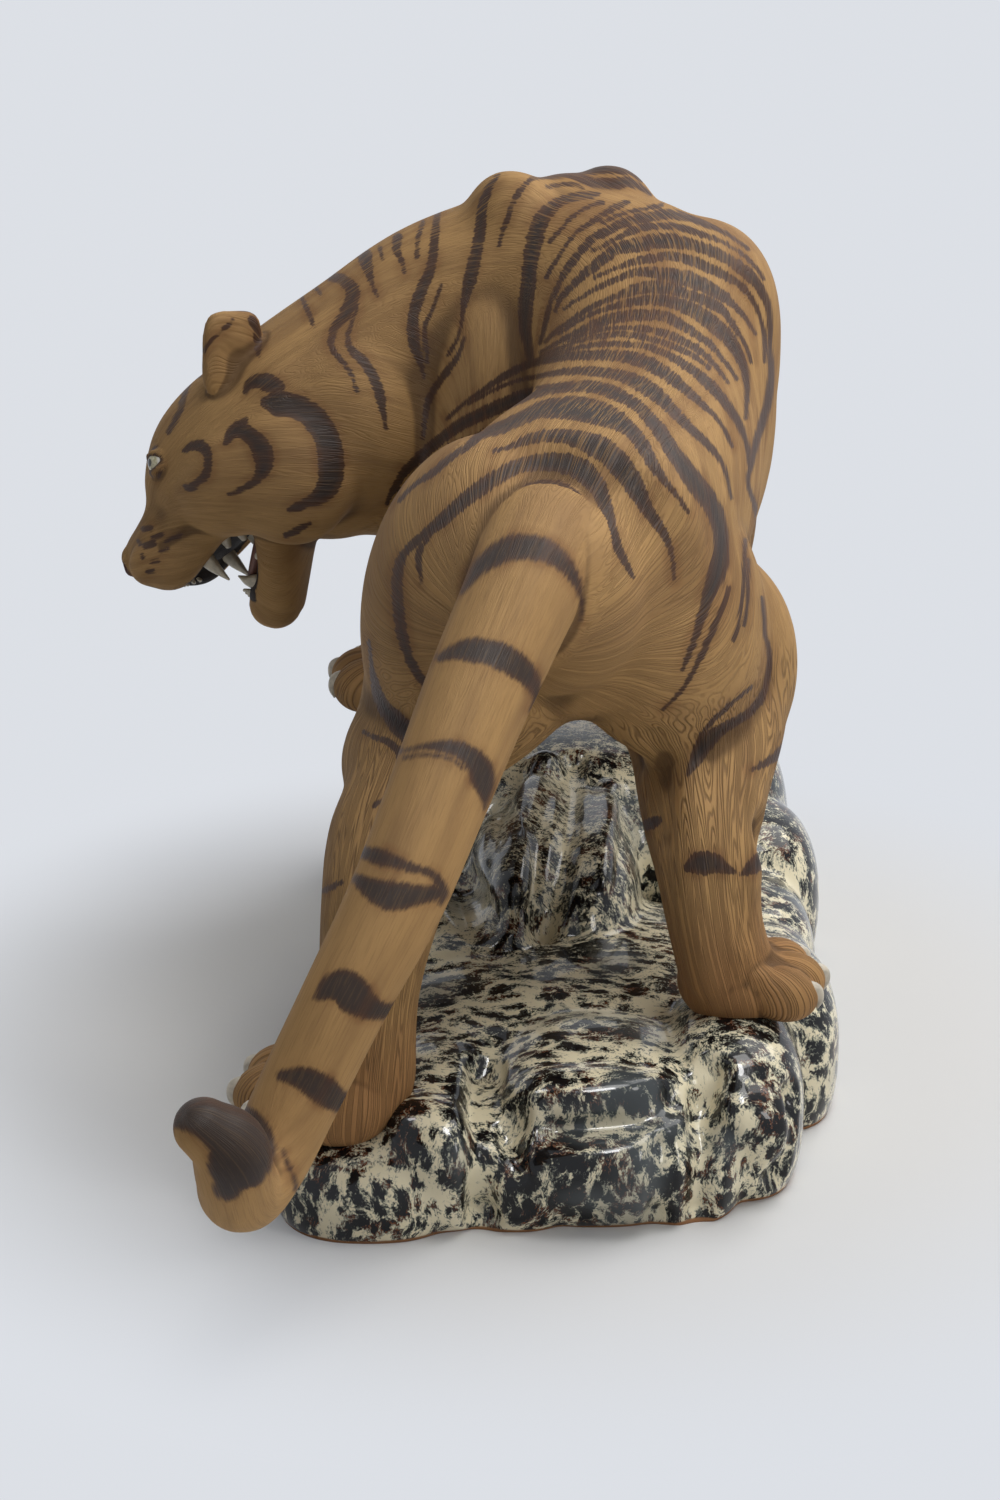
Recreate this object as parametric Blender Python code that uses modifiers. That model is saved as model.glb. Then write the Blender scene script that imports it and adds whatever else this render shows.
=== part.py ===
"""A stoneware tiger on a glazed rock, one fired piece: the solid that the finished figure is dressed over.

Blender 4.5. Metres, +Z up. The tiger walks along +Y and turns its head to -X. The origin is on the
resting face of the rock. Numbers in the tables are millimetres and are scaled by MM where they are used.
"""

from math import cos, pi, radians, sin

import bmesh
import bpy
import numpy as np
from mathutils import Matrix, Vector

FIGURE = "tiger_figurine"
MM = 0.001

# Heights of the places where the paws stand, above the surface that the rock rests on.
REAR_LEFT_LEDGE = 38.0
REAR_RIGHT_LEDGE = 59.0
FRONT_LEFT_LEDGE = 92.0
FRONT_RIGHT_LEDGE = 99.0

# Heights of the middle of the trunk.
RUMP_HEIGHT = 214.0
LOIN_HEIGHT = 226.0
CHEST_HEIGHT = 244.0
NECK_HEIGHT = 234.0

# Thickness of the trunk: half widths and half heights.
HIP_HALF_WIDTH = 58.0
LOIN_HALF_WIDTH = 49.0
CHEST_HALF_WIDTH = 55.0
NECK_HALF_WIDTH = 42.0
HIP_HALF_HEIGHT = 52.0
LOIN_HALF_HEIGHT = 54.0
CHEST_HALF_HEIGHT = 69.0
NECK_HALF_HEIGHT = 60.0

# Tail: radius at its root, in the middle and at the tip.
TAIL_ROOT_RADIUS = 20.0
TAIL_MIDDLE_RADIUS = 15.5
TAIL_TIP_RADIUS = 8.0

# Head: where it is carried, how it is turned, and how wide the jaws gape.
HEAD_CENTRE = Vector((-134.0, 135.0, 195.0))
HEAD_YAW = 12.0
HEAD_PITCH = 28.0
HEAD_ROLL = 13.0
JAW_GAPE = 57.0
EAR_SPREAD = 30.0

# Paws and claws.
TOE_RADIUS = 10.5
CLAW_RADIUS = 2.6
CLAW_LENGTH = 9.0
EYE_RADIUS = 7.0
CANINE_RADIUS = 3.8
CANINE_LENGTH = 9.0

# Mesh: the grid on which clay is fused, first coarse for the large forms and then fine with the details,
# how often the creases of each are softened, and how many triangles the finished solid keeps.
COARSE_GRID = 2.2
FINE_GRID = 1.7
BODY_SOFTENING = 36
ROCK_SOFTENING = 12
LAST_SOFTENING = 4
TRIANGLES = 9400

CLAY_COLOUR = (0.30, 0.19, 0.10)
CLAY_ROUGHNESS = 0.75

WORLD_UP = Vector((0.0, 0.0, 1.0))


def clear_scene():
    for thing in list(bpy.data.objects):
        bpy.data.objects.remove(thing)


def put_in(collection_name, thing):
    collection = bpy.data.collections.get(collection_name)
    if collection is None:
        collection = bpy.data.collections.new(collection_name)
        bpy.context.scene.collection.children.link(collection)
    collection.objects.link(thing)
    return thing


def object_from(name, shape, collection=FIGURE):
    """Makes an object of a bmesh whose coordinates are millimetres."""
    bmesh.ops.recalc_face_normals(shape, faces=shape.faces)
    mesh = bpy.data.meshes.new(name)
    shape.to_mesh(mesh)
    shape.free()
    return put_in(collection, bpy.data.objects.new(name, mesh))


def smooth_path(stations, steps):
    """Catmull-Rom through rows of numbers."""
    rows = np.array(stations, float)
    ends = np.vstack([2 * rows[0] - rows[1], rows, 2 * rows[-1] - rows[-2]])
    out = []
    for i in range(len(rows) - 1):
        a, b, c, d = ends[i : i + 4]
        for t in np.linspace(0, 1, steps, endpoint=False):
            curve = 2 * b + (c - a) * t + (2 * a - 5 * b + 4 * c - d) * t**2
            out.append((curve + (3 * b - a - 3 * c + d) * t**3) / 2)
    out.append(rows[-1])
    return np.array(out)


def loft(name, stations, upward=WORLD_UP, squareness=2.0, steps=5, sides=28, frame=None):
    """A limb through stations of x, y, z, half width and half height, with a rounded end at each side.

    The half height is measured along upward, as far as that lies across the limb. More squareness than 2
    makes the limb's section boxier than an ellipse.
    """
    rows = smooth_path(stations, steps)
    centres = [Vector(r[:3]) for r in rows]
    shape = bmesh.new()
    rings = []
    last = len(rows) - 1
    for i, (centre, row) in enumerate(zip(centres, rows)):
        along = (centres[min(i + 1, last)] - centres[max(i - 1, 0)]).normalized()
        side = along.cross(upward).normalized()
        up = side.cross(along).normalized()
        caps = [(0.0, 1.0)]
        if i == 0:
            caps = [(-sin(a), cos(a)) for a in (1.2, 0.9, 0.6, 0.3, 0.0)]
        if i == last:
            caps = [(sin(a), cos(a)) for a in (0.0, 0.3, 0.6, 0.9, 1.2)]
        reach = min(row[3], row[4])
        for shift, size in caps:
            middle = centre + along * reach * shift
            ring = []
            for k in range(sides):
                angle = 2 * pi * k / sides
                across, upright = cos(angle), sin(angle)
                length = (abs(across) ** squareness + abs(upright) ** squareness) ** (1 / squareness)
                point = middle + (side * row[3] * across + up * row[4] * upright) * size / length
                ring.append(shape.verts.new(point))
            rings.append(ring)
    for one, two in zip(rings, rings[1:]):
        for k in range(sides):
            j = (k + 1) % sides
            shape.faces.new((one[k], one[j], two[j], two[k]))
    shape.faces.new(rings[0])
    shape.faces.new(rings[-1])
    if frame is not None:
        shape.transform(frame)
    return object_from(name, shape)


def ball(name, centre, radii, turn=(0, 0, 0), frame=None, squareness=2.0, fineness=4):
    """An ellipsoid, or with more squareness a pebble with flatter sides. turn is in degrees about X, Y and Z."""
    shape = bmesh.new()
    bmesh.ops.create_icosphere(shape, subdivisions=fineness, radius=1.0)
    for v in shape.verts:
        length = sum(abs(c) ** squareness for c in v.co) ** (1 / squareness)
        v.co = v.co / length
    spin = Matrix.Rotation(radians(turn[2]), 4, "Z") @ Matrix.Rotation(radians(turn[1]), 4, "Y")
    spin = spin @ Matrix.Rotation(radians(turn[0]), 4, "X")
    place = Matrix.Translation(Vector(centre)) @ spin @ Matrix.Diagonal((*radii, 1.0))
    shape.transform(place if frame is None else frame @ place)
    return object_from(name, shape)


def spike(name, root, tip, radius):
    """A tooth or a claw: a blunt cone from its root to its tip."""
    axis = Vector(tip) - Vector(root)
    blunt = radius * 0.18
    shape = bmesh.new()
    bmesh.ops.create_cone(
        shape, cap_ends=True, segments=8, radius1=radius, radius2=blunt, depth=axis.length
    )
    turn = axis.to_track_quat("Z", "Y").to_matrix().to_4x4()
    shape.transform(Matrix.Translation((Vector(tip) + Vector(root)) / 2) @ turn)
    return object_from(name, shape)


def frozen(thing):
    """The object's mesh with its modifiers carried out."""
    graph = bpy.context.evaluated_depsgraph_get()
    mesh = bpy.data.meshes.new_from_object(thing.evaluated_get(graph))
    thing.modifiers.clear()
    thing.data = mesh
    return thing


def fuse(name, pieces, grid, soften):
    """Joins overlapping pieces into one skin of clay and softens the creases between them."""
    shape = bmesh.new()
    for piece in pieces:
        shape.from_mesh(piece.data)
        bpy.data.objects.remove(piece)
    mesh = bpy.data.meshes.new(name)
    shape.to_mesh(mesh)
    shape.free()
    clay = put_in(FIGURE, bpy.data.objects.new(name, mesh))
    remesh = clay.modifiers.new("skin", "REMESH")
    remesh.mode = "VOXEL"
    remesh.voxel_size = grid
    remesh.use_smooth_shade = True
    soft = clay.modifiers.new("soften", "SMOOTH")
    soft.factor = 0.5
    soft.iterations = soften
    return frozen(clay)


def press(thing, frame, dents):
    """Presses dents into the clay. Each has a middle in the frame's axes, a radius and a depth."""
    mesh = thing.data
    count = len(mesh.vertices)
    points, normals = np.empty(count * 3), np.empty(count * 3)
    mesh.vertices.foreach_get("co", points)
    mesh.vertices.foreach_get("normal", normals)
    points, normals = points.reshape(-1, 3), normals.reshape(-1, 3)
    for middle, radius, depth in dents:
        away = np.linalg.norm(points - np.array(frame @ Vector(middle)), axis=1)
        strength = np.clip(1 - (away / radius) ** 2, 0, 1) ** 2
        points -= normals * (strength * depth)[:, None]
    mesh.vertices.foreach_set("co", points.ravel())
    mesh.update()
    return thing


def head_frame():
    """From the head's own axes (X to its right, Y to the nose, Z up) to the figure's."""
    yaw, pitch, roll = radians(HEAD_YAW), radians(HEAD_PITCH), radians(HEAD_ROLL)
    forward = Vector((-cos(yaw) * cos(pitch), sin(yaw) * cos(pitch), -sin(pitch)))
    right = forward.cross(WORLD_UP).normalized()
    up = right.cross(forward)
    turn = Matrix((right, forward, up)).transposed().to_4x4()
    return Matrix.Translation(HEAD_CENTRE) @ turn @ Matrix.Rotation(roll, 4, "Y")


def trunk():
    """Rump, loin, chest and neck as one long loft, with the muscles that stand out from it."""
    pieces = [
        loft(
            "trunk",
            [
                (-9, -108, RUMP_HEIGHT + 4, 36, 36),
                (-4, -84, RUMP_HEIGHT + 1, HIP_HALF_WIDTH - 4, HIP_HALF_HEIGHT),
                (8, -46, RUMP_HEIGHT + 6, HIP_HALF_WIDTH - 3, HIP_HALF_HEIGHT + 2),
                (24, -4, LOIN_HEIGHT, LOIN_HALF_WIDTH, LOIN_HALF_HEIGHT),
                (33, 42, LOIN_HEIGHT + 4, LOIN_HALF_WIDTH - 1, LOIN_HALF_HEIGHT + 8),
                (38, 84, CHEST_HEIGHT - 2, CHEST_HALF_WIDTH - 4, CHEST_HALF_HEIGHT - 1),
                (24, 122, CHEST_HEIGHT + 6, CHEST_HALF_WIDTH - 1, CHEST_HALF_HEIGHT + 2),
                (-6, 146, CHEST_HEIGHT + 9, CHEST_HALF_WIDTH - 6, CHEST_HALF_HEIGHT - 2),
                (-44, 152, NECK_HEIGHT + 12, NECK_HALF_WIDTH + 2, NECK_HALF_HEIGHT + 1),
                (-78, 146, NECK_HEIGHT - 2, NECK_HALF_WIDTH, NECK_HALF_HEIGHT - 7),
                (-106, 138, NECK_HEIGHT - 17, NECK_HALF_WIDTH - 1, NECK_HALF_HEIGHT - 10),
            ],
            squareness=2.35,
        ),
        ball("left_haunch", (-30, -72, 199), (45, 58, 68), turn=(6, 8, 8)),
        ball("right_haunch", (34, -54, 194), (40, 58, 58), turn=(-6, -14, -12)),
        ball("left_scapula", (-16, 138, 286), (23, 34, 44), turn=(-6, -6, 40)),
        ball("right_scapula", (21, 150, 288), (21, 32, 42), turn=(-6, 6, 40)),
        ball("withers", (4, 146, 281), (36, 34, 46)),
        ball("right_flank", (48, 100, 263), (43, 50, 52), squareness=2.7),
        ball("breast", (30, 162, 214), (46, 30, 52), turn=(0, 0, 40)),
        ball("left_shoulder", (-30, 114, 226), (27, 34, 58), turn=(0, 4, 20)),
        ball("right_shoulder", (58, 136, 224), (27, 34, 56), turn=(0, -4, 30)),
        ball("belly", (27, 30, 196), (40, 62, 34), turn=(4, 0, 0)),
        ball("throat", (-74, 144, 200), (36, 34, 31)),
    ]
    return pieces


def hind_legs():
    """Each hind leg: the thigh down to the knee, then the shin back to the hock and down to the paw."""
    right = [
        ball("right_thigh", (59, -28, 166), (31, 34, 44), turn=(-16, -4, -12)),
        loft(
            "right_shin",
            [
                (64, -22, 156, 24, 26),
                (60, -46, 144, 27, 27),
                (54, -80, 124, 23.5, 25),
                (52, -103, 104, 20.5, 21),
                (56, -107, REAR_RIGHT_LEDGE + 24, 20, 19),
                (61, -106, REAR_RIGHT_LEDGE + 11, 23, 21),
            ],
            upward=Vector((0.3, 1, 0)),
        ),
    ]
    left = [
        ball("left_thigh", (-48, -66, 162), (29, 38, 44), turn=(-14, 6, 10)),
        loft(
            "left_shin",
            [
                (-54, -58, 150, 22, 26),
                (-57, -88, 147, 26, 28),
                (-60, -126, 122, 26, 26),
                (-66, -146, 104, 25, 21),
                (-71, -153, REAR_LEFT_LEDGE + 36, 22, 20),
                (-75, -155, REAR_LEFT_LEDGE + 14, 22, 21),
            ],
            upward=Vector((-0.3, 1, 0)),
        ),
    ]
    return right + left


def fore_legs():
    """Each fore leg from the shoulder down to the paw."""
    left = loft(
        "left_fore_leg",
        [
            (-28, 112, 214, 30, 34),
            (-30, 112, 180, 25, 28),
            (-40, 124, 148, 20, 22),
            (-49, 139, FRONT_LEFT_LEDGE + 30, 18, 18),
            (-54, 142, FRONT_LEFT_LEDGE + 12, 20, 19),
        ],
        upward=Vector((-0.6, 1, 0)),
    )
    right = loft(
        "right_fore_leg",
        [
            (58, 136, 214, 30, 34),
            (62, 128, 180, 25, 28),
            (62, 136, 148, 20, 22),
            (58, 148, FRONT_RIGHT_LEDGE + 28, 18, 18),
            (57, 151, FRONT_RIGHT_LEDGE + 12, 20, 19),
        ],
        upward=Vector((0.1, 1, 0)),
    )
    return [left, right]


def paw_frame(place, heading):
    """The paw's own axes: X to its right, Y to the toes, Z up, from the ground under the ankle."""
    return Matrix.Translation(Vector(place)) @ Matrix.Rotation(radians(heading), 4, "Z")


# Where each toe's middle lies in its paw, across and along, and how far it turns out, in degrees.
TOE_SPREAD = ((-20.0, 18.0, 22.0), (-7.5, 27.0, 8.0), (7.5, 27.0, -8.0), (20.0, 18.0, -22.0))


def paw(name, place, heading, size):
    """The pad and the four toes of a paw."""
    frame = paw_frame(place, heading) @ Matrix.Diagonal((size, size, size, 1.0))
    pieces = [ball(f"{name}_pad", (0, 5, 9), (24, 23, 18), frame=frame)]
    for i, (across, along, turn) in enumerate(TOE_SPREAD):
        toe = (TOE_RADIUS, TOE_RADIUS + 4, TOE_RADIUS + 0.5)
        pieces.append(ball(f"{name}_toe_{i}", (across, along, 9.5), toe, turn=(-12, 0, turn), frame=frame))
    return pieces


def claws(name, place, heading, size):
    """The claw of each toe: it leaves the toe high at its front and hooks down."""
    frame = paw_frame(place, heading) @ Matrix.Diagonal((size, size, size, 1.0))
    pieces = []
    for i, (across, along, turn) in enumerate(TOE_SPREAD):
        toe = frame @ Matrix.Translation((across, along, 9)) @ Matrix.Rotation(radians(turn), 4, "Z")
        root = toe @ Vector((0, TOE_RADIUS, 3))
        tip = toe @ Vector((0, TOE_RADIUS + 5, 3 - CLAW_LENGTH))
        pieces.append(spike(f"{name}_claw_{i}", root, tip, CLAW_RADIUS))
    return pieces


PAWS = {
    "right_hind_paw": ((57, -102, REAR_RIGHT_LEDGE), -60.0, 1.14),
    "left_hind_paw": ((-77, -158, REAR_LEFT_LEDGE), 77.0, 1.02),
    "left_fore_paw": ((-56, 143, FRONT_LEFT_LEDGE), 62.0, 1.08),
    "right_fore_paw": ((57, 152, FRONT_RIGHT_LEDGE), -6.0, 1.08),
}


def tail():
    """From the croup down behind the left leg to a tip that curls up."""
    root, middle, tip = TAIL_ROOT_RADIUS, TAIL_MIDDLE_RADIUS, TAIL_TIP_RADIUS
    stations = [
        (-7, -96, 230, root + 8, root + 6),
        (-11, -116, 235, root + 2, root + 2),
        (-18, -140, 227, root, root),
        (-32, -170, 203, root - 1.5, root - 1.5),
        (-46, -198, 174.5, middle + 1.5, middle + 1.5),
        (-59, -220, 148, middle + 0.5, middle + 0.5),
        (-75, -238, 121, middle - 1, middle - 1),
        (-89, -250, 95, middle - 1.5, middle - 1.5),
        (-99, -262, 77, middle - 2, middle - 2),
        (-106, -277, 73, middle - 2, middle - 2),
        (-107, -291, 86, tip + 4.5, tip + 4.5),
        (-108, -299, 100, tip + 4, tip + 4),
        (-115, -302, 108, tip + 1.5, tip + 1.5),
    ]
    return loft("tail", stations, upward=Vector((1, 0, 0)))


def head():
    """Skull, muzzle, lower jaw and ears in the head's own axes."""
    frame = head_frame()
    pieces = [
        loft(
            "skull",
            [
                (0, -60, 8, 34, 42),
                (0, -40, 8, 37, 42),
                (0, -24, 9, 39, 42),
                (0, -8, 12, 39, 41),
                (0, 8, 11, 36, 36),
                (0, 21, 5, 31, 30),
                (0, 32, -3, 26, 24),
                (0, 44, -6, 22, 19),
                (0, 54, -7, 19, 16),
                (0, 61, -8, 14, 12),
            ],
            squareness=2.2,
            frame=frame,
        ),
        loft(
            "nose_bridge",
            [(0, 18, 24, 13, 13), (0, 34, 8, 10, 9), (0, 50, 3, 9, 8.5), (0, 63, -3, 9, 7)],
            frame=frame,
        ),
        ball("nose_tip", (0, 67, -6), (9, 6, 7.5), frame=frame),
    ]
    for side, sign in (("right", 1), ("left", -1)):
        lip = [
            (sign * 26, -2, -17, 8, 9),
            (sign * 20, 14, -18, 7, 8),
            (sign * 17, 30, -20, 8.5, 9.5),
            (sign * 14, 45, -19, 10, 10.5),
            (sign * 9, 56, -14, 9, 9),
        ]
        pieces += [
            ball(f"{side}_cheek", (sign * 27, -4, 2), (17, 30, 25), turn=(0, 0, sign * 16), frame=frame),
            ball(f"{side}_ruff", (sign * 28, -26, -6), (19, 26, 33), frame=frame),
            ball(f"{side}_brow", (sign * 15, 19, 28), (12, 10, 7), turn=(-35, 0, 0), frame=frame),
            loft(f"{side}_lip", lip, frame=frame),
            ball(f"{side}_ear_fold", (sign * 29, -24, 45), (6, 13, 13), turn=(20, 0, 0), frame=frame),
            ball(
                f"{side}_ear",
                (sign * EAR_SPREAD, -38, 46),
                (5.5, 14, 22),
                turn=(-26, sign * 18, -sign * 10),
                squareness=2.4,
                frame=frame,
            ),
        ]
    jaw = frame @ jaw_frame()
    pieces.append(
        loft(
            "lower_jaw",
            [
                (0, -8, -7, 30, 16),
                (0, 10, -7.5, 22, 13),
                (0, 22, -7, 18, 12.5),
                (0, 33, -5.5, 16, 13.5),
                (0, 37, -5, 13, 13),
            ],
            squareness=2.4,
            frame=jaw,
        )
    )
    return pieces


def jaw_frame():
    """The lower jaw's own axes in the head's: Y from the hinge to the chin."""
    return Matrix.Translation((0, -2, -20)) @ Matrix.Rotation(radians(-JAW_GAPE), 4, "X")


def face_dents():
    """Eye sockets, nostrils, the dip above the nose, the hollows before the cheeks and the cups of the ears."""
    dents = [((0, 31, 25), 10, 1.5), ((0, 72, -12), 4, 1.0)]
    for sign in (1, -1):
        dents += [
            ((sign * 21, 27, 20), 10, 4.0),
            ((sign * 26, 36, 0), 13, 2.5),
            ((sign * 6, 70, -7), 4, 2.5),
            ((sign * (EAR_SPREAD + 8), -38, 52), 13, 4.0),
        ]
    return dents


def eyes():
    frame = head_frame()
    return [
        ball(f"{side}_eye", (sign * 17, 23, 20), (EYE_RADIUS,) * 3, frame=frame, fineness=2)
        for side, sign in (("right", 1), ("left", -1))
    ]


def canines():
    """The long tooth at each corner of the upper and the lower jaw."""
    frame = head_frame()
    jaw = frame @ jaw_frame()
    pieces = []
    for side, sign in (("right", 1), ("left", -1)):
        upper = [frame @ Vector(p) for p in ((sign * 12, 26, -22), (sign * 11, 23, -24 - CANINE_LENGTH))]
        lower = [jaw @ Vector(p) for p in ((sign * 10, 34, 4), (sign * 10, 33, 6 + CANINE_LENGTH))]
        pieces.append(spike(f"{side}_upper_canine", *upper, CANINE_RADIUS))
        pieces.append(spike(f"{side}_lower_canine", *lower, CANINE_RADIUS - 0.3))
    return pieces


def rock():
    """Boulders and folds of clay that the tiger stands on."""
    left, right = REAR_LEFT_LEDGE, REAR_RIGHT_LEDGE
    front_left, front_right = FRONT_LEFT_LEDGE, FRONT_RIGHT_LEDGE
    lumps = [
        ((-72, -142, left / 2 - 6), (37, 44, left / 2 + 7)),
        ((-80, -110, left / 2 - 6), (33, 44, left / 2 + 6)),
        ((-30, -132, 22), (28, 50, 31)),
        ((10, -128, right / 2 - 8), (40, 49, right / 2 + 4)),
        ((61, -114, right / 2 - 6), (27, 44, right / 2 + 8)),
        ((79, -60, right / 2 - 8), (28, 42, right / 2 + 9)),
        ((78, -24, right / 2 - 8), (26, 36, right / 2)),
        ((0, -50, 22), (92, 96, 32)),
        ((-46, -10, 24), (44, 60, 38)),
        ((74, 20, 20), (32, 44, 34)),
        ((80, 74, 26), (33, 40, 42)),
        ((78, 128, 34), (26, 50, 50)),
        ((0, 112, 36), (84, 66, 54)),
        ((46, 160, front_right / 2), (50, 52, front_right / 2 + 4)),
        ((-50, 148, front_left / 2 - 6), (42, 44, front_left / 2 + 8)),
        ((-2, 176, 34), (30, 36, 44)),
        ((28, 186, 26), (28, 26, 36)),
        ((76, 172, 36), (24, 36, 44)),
        ((-36, 178, 26), (26, 26, 38)),
        ((0, 30, 40), (34, 70, 44)),
        ((-24, 6, 40), (16, 60, 42)),
    ]
    return [
        ball(f"boulder_{i}", centre, radii, squareness=2.6) for i, (centre, radii) in enumerate(lumps)
    ]


def cut_flat(thing):
    """Cuts the figure off level at its resting face and closes it there."""
    shape = bmesh.new()
    shape.from_mesh(thing.data)
    everything = list(shape.verts) + list(shape.edges) + list(shape.faces)
    cut = bmesh.ops.bisect_plane(
        shape, geom=everything, plane_co=(0, 0, 0), plane_no=(0, 0, -1), clear_outer=True
    )
    rim = [e for e in cut["geom_cut"] if isinstance(e, bmesh.types.BMEdge)]
    bmesh.ops.holes_fill(shape, edges=rim)
    bmesh.ops.triangulate(shape, faces=shape.faces)
    shape.to_mesh(thing.data)
    shape.free()
    return thing


def joined(thing, pieces):
    """The figure with its claws, canines and eyes joined to it by their true outlines."""
    for piece in pieces:
        union = thing.modifiers.new("join", "BOOLEAN")
        union.operation = "UNION"
        union.solver = "EXACT"
        union.object = piece
    frozen(thing)
    for piece in pieces:
        bpy.data.objects.remove(piece)
    return thing


def thin_out(thing, triangles):
    """Drops the triangles that flat places can spare."""
    have = sum(len(p.vertices) - 2 for p in thing.data.polygons)
    decimate = thing.modifiers.new("thin_out", "DECIMATE")
    decimate.ratio = triangles / have
    return frozen(thing)


def painted(thing, name, colour, roughness):
    clay = bpy.data.materials.new(name)
    clay.use_nodes = True
    shader = clay.node_tree.nodes["Principled BSDF"]
    shader.inputs["Base Color"].default_value = (*colour, 1.0)
    shader.inputs["Roughness"].default_value = roughness
    shader.inputs["Metallic"].default_value = 0.0
    thing.data.materials.clear()
    thing.data.materials.append(clay)
    return thing


def main():
    clear_scene()
    body = fuse("body_clay", trunk() + hind_legs() + fore_legs(), COARSE_GRID, BODY_SOFTENING)
    details = head() + [tail()]
    for name, (place, heading, size) in PAWS.items():
        details += paw(name, place, heading, size)
    stone = fuse("rock_clay", rock(), COARSE_GRID, ROCK_SOFTENING)
    figure = fuse(FIGURE, [body, stone] + details, FINE_GRID, LAST_SOFTENING)
    press(figure, head_frame(), face_dents())
    thin_out(figure, TRIANGLES)
    cut_flat(figure)
    small = canines() + eyes()
    for name, (place, heading, size) in PAWS.items():
        small += claws(name, place, heading, size)
    joined(figure, small)
    figure.data.transform(Matrix.Scale(MM, 4))
    figure.data.update()
    painted(figure, "bare_clay", CLAY_COLOUR, CLAY_ROUGHNESS)


main()
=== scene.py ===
# The looks of a stoneware tiger that walks over a glazed rock. It is one fired piece: the animal is bare
# brushed clay with painted stripes, and the rock carries a thick running glaze.
# Lengths in the tables are millimetres; the meshes are scaled to metres when they are finished.
from math import cos, pi, radians, sin

import bmesh
import bpy
import numpy as np
from mathutils import Matrix, Vector
from mathutils.bvhtree import BVHTree


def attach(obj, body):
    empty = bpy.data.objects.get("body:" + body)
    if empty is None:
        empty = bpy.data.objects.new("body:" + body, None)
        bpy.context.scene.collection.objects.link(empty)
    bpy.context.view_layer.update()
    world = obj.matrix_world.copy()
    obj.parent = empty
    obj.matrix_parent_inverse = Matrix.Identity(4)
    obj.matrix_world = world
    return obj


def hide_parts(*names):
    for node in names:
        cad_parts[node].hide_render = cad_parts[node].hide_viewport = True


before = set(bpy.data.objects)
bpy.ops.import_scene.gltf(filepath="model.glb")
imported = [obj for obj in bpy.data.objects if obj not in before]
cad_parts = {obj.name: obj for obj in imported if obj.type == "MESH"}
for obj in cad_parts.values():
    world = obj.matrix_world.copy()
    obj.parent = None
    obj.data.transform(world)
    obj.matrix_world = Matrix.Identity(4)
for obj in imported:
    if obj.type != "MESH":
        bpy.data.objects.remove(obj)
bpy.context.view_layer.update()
worldUp = Vector((0.0, 0.0, 1.0))
millimetre = 0.001
print("frame loaded")

photoView = {
    "elevation": 20.0,  # degrees above the table
    "distance": 1160.0,
    "target": (-25.0, 0.0, 120.0),
    "focalPixels": 2900.0,
    "imageWidth": 1000,
    "imageHeight": 1500,
}
tilt = radians(photoView["elevation"])
viewForward = Vector((0.0, cos(tilt), -sin(tilt)))
viewUp = Vector((0.0, sin(tilt), cos(tilt)))
viewRight = Vector((1.0, 0.0, 0.0))
eyePoint = Vector(photoView["target"]) - viewForward * photoView["distance"]

studio = {
    "floorColour": (0.66, 0.665, 0.675),
    "backdropColour": (0.72, 0.745, 0.79),
    "floorRim": (0.15, 0.33),  # metres from the middle over which the table turns into the backdrop
    "skyColour": (0.98, 0.97, 0.96),
    "skyStrength": 0.22,
    # name: place and aim, width and height of the lamp, watts, colour
    "lamps": {
        "window": ((750, 450, 1300), (0, 0, 150), (1100, 1100), 15.0, (1.0, 0.99, 0.97)),
        "ceiling": ((250, -350, 1500), (0, 0, 150), (500, 500), 7.0, (1.0, 0.99, 0.96)),
        "doorway": ((1000, -900, 650), (0, 0, 150), (300, 420), 4.0, (1.0, 0.98, 0.94)),
    },
    # panes that only show as highlights in the glaze
    "panes": {
        "frontPane": ((120, -620, 1250), (0, -120, 30), (260, 380), 9.0, (1.0, 1.0, 1.0)),
        "sidePane": ((-620, -200, 1150), (0, -60, 60), (160, 280), 2.0, (1.0, 1.0, 1.0)),
    },
}


def setCamera():
    camera = bpy.data.cameras.new("photoCamera")
    camera.sensor_fit = "VERTICAL"
    camera.sensor_height = 36.0
    camera.lens = photoView["focalPixels"] * camera.sensor_height / photoView["imageHeight"]
    camera.clip_start = 0.01
    holder = bpy.data.objects.new("photoCamera", camera)
    holder.location = eyePoint * millimetre
    holder.rotation_euler = viewForward.to_track_quat("-Z", "Y").to_euler()
    bpy.context.scene.collection.objects.link(holder)
    bpy.context.scene.camera = holder


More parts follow.
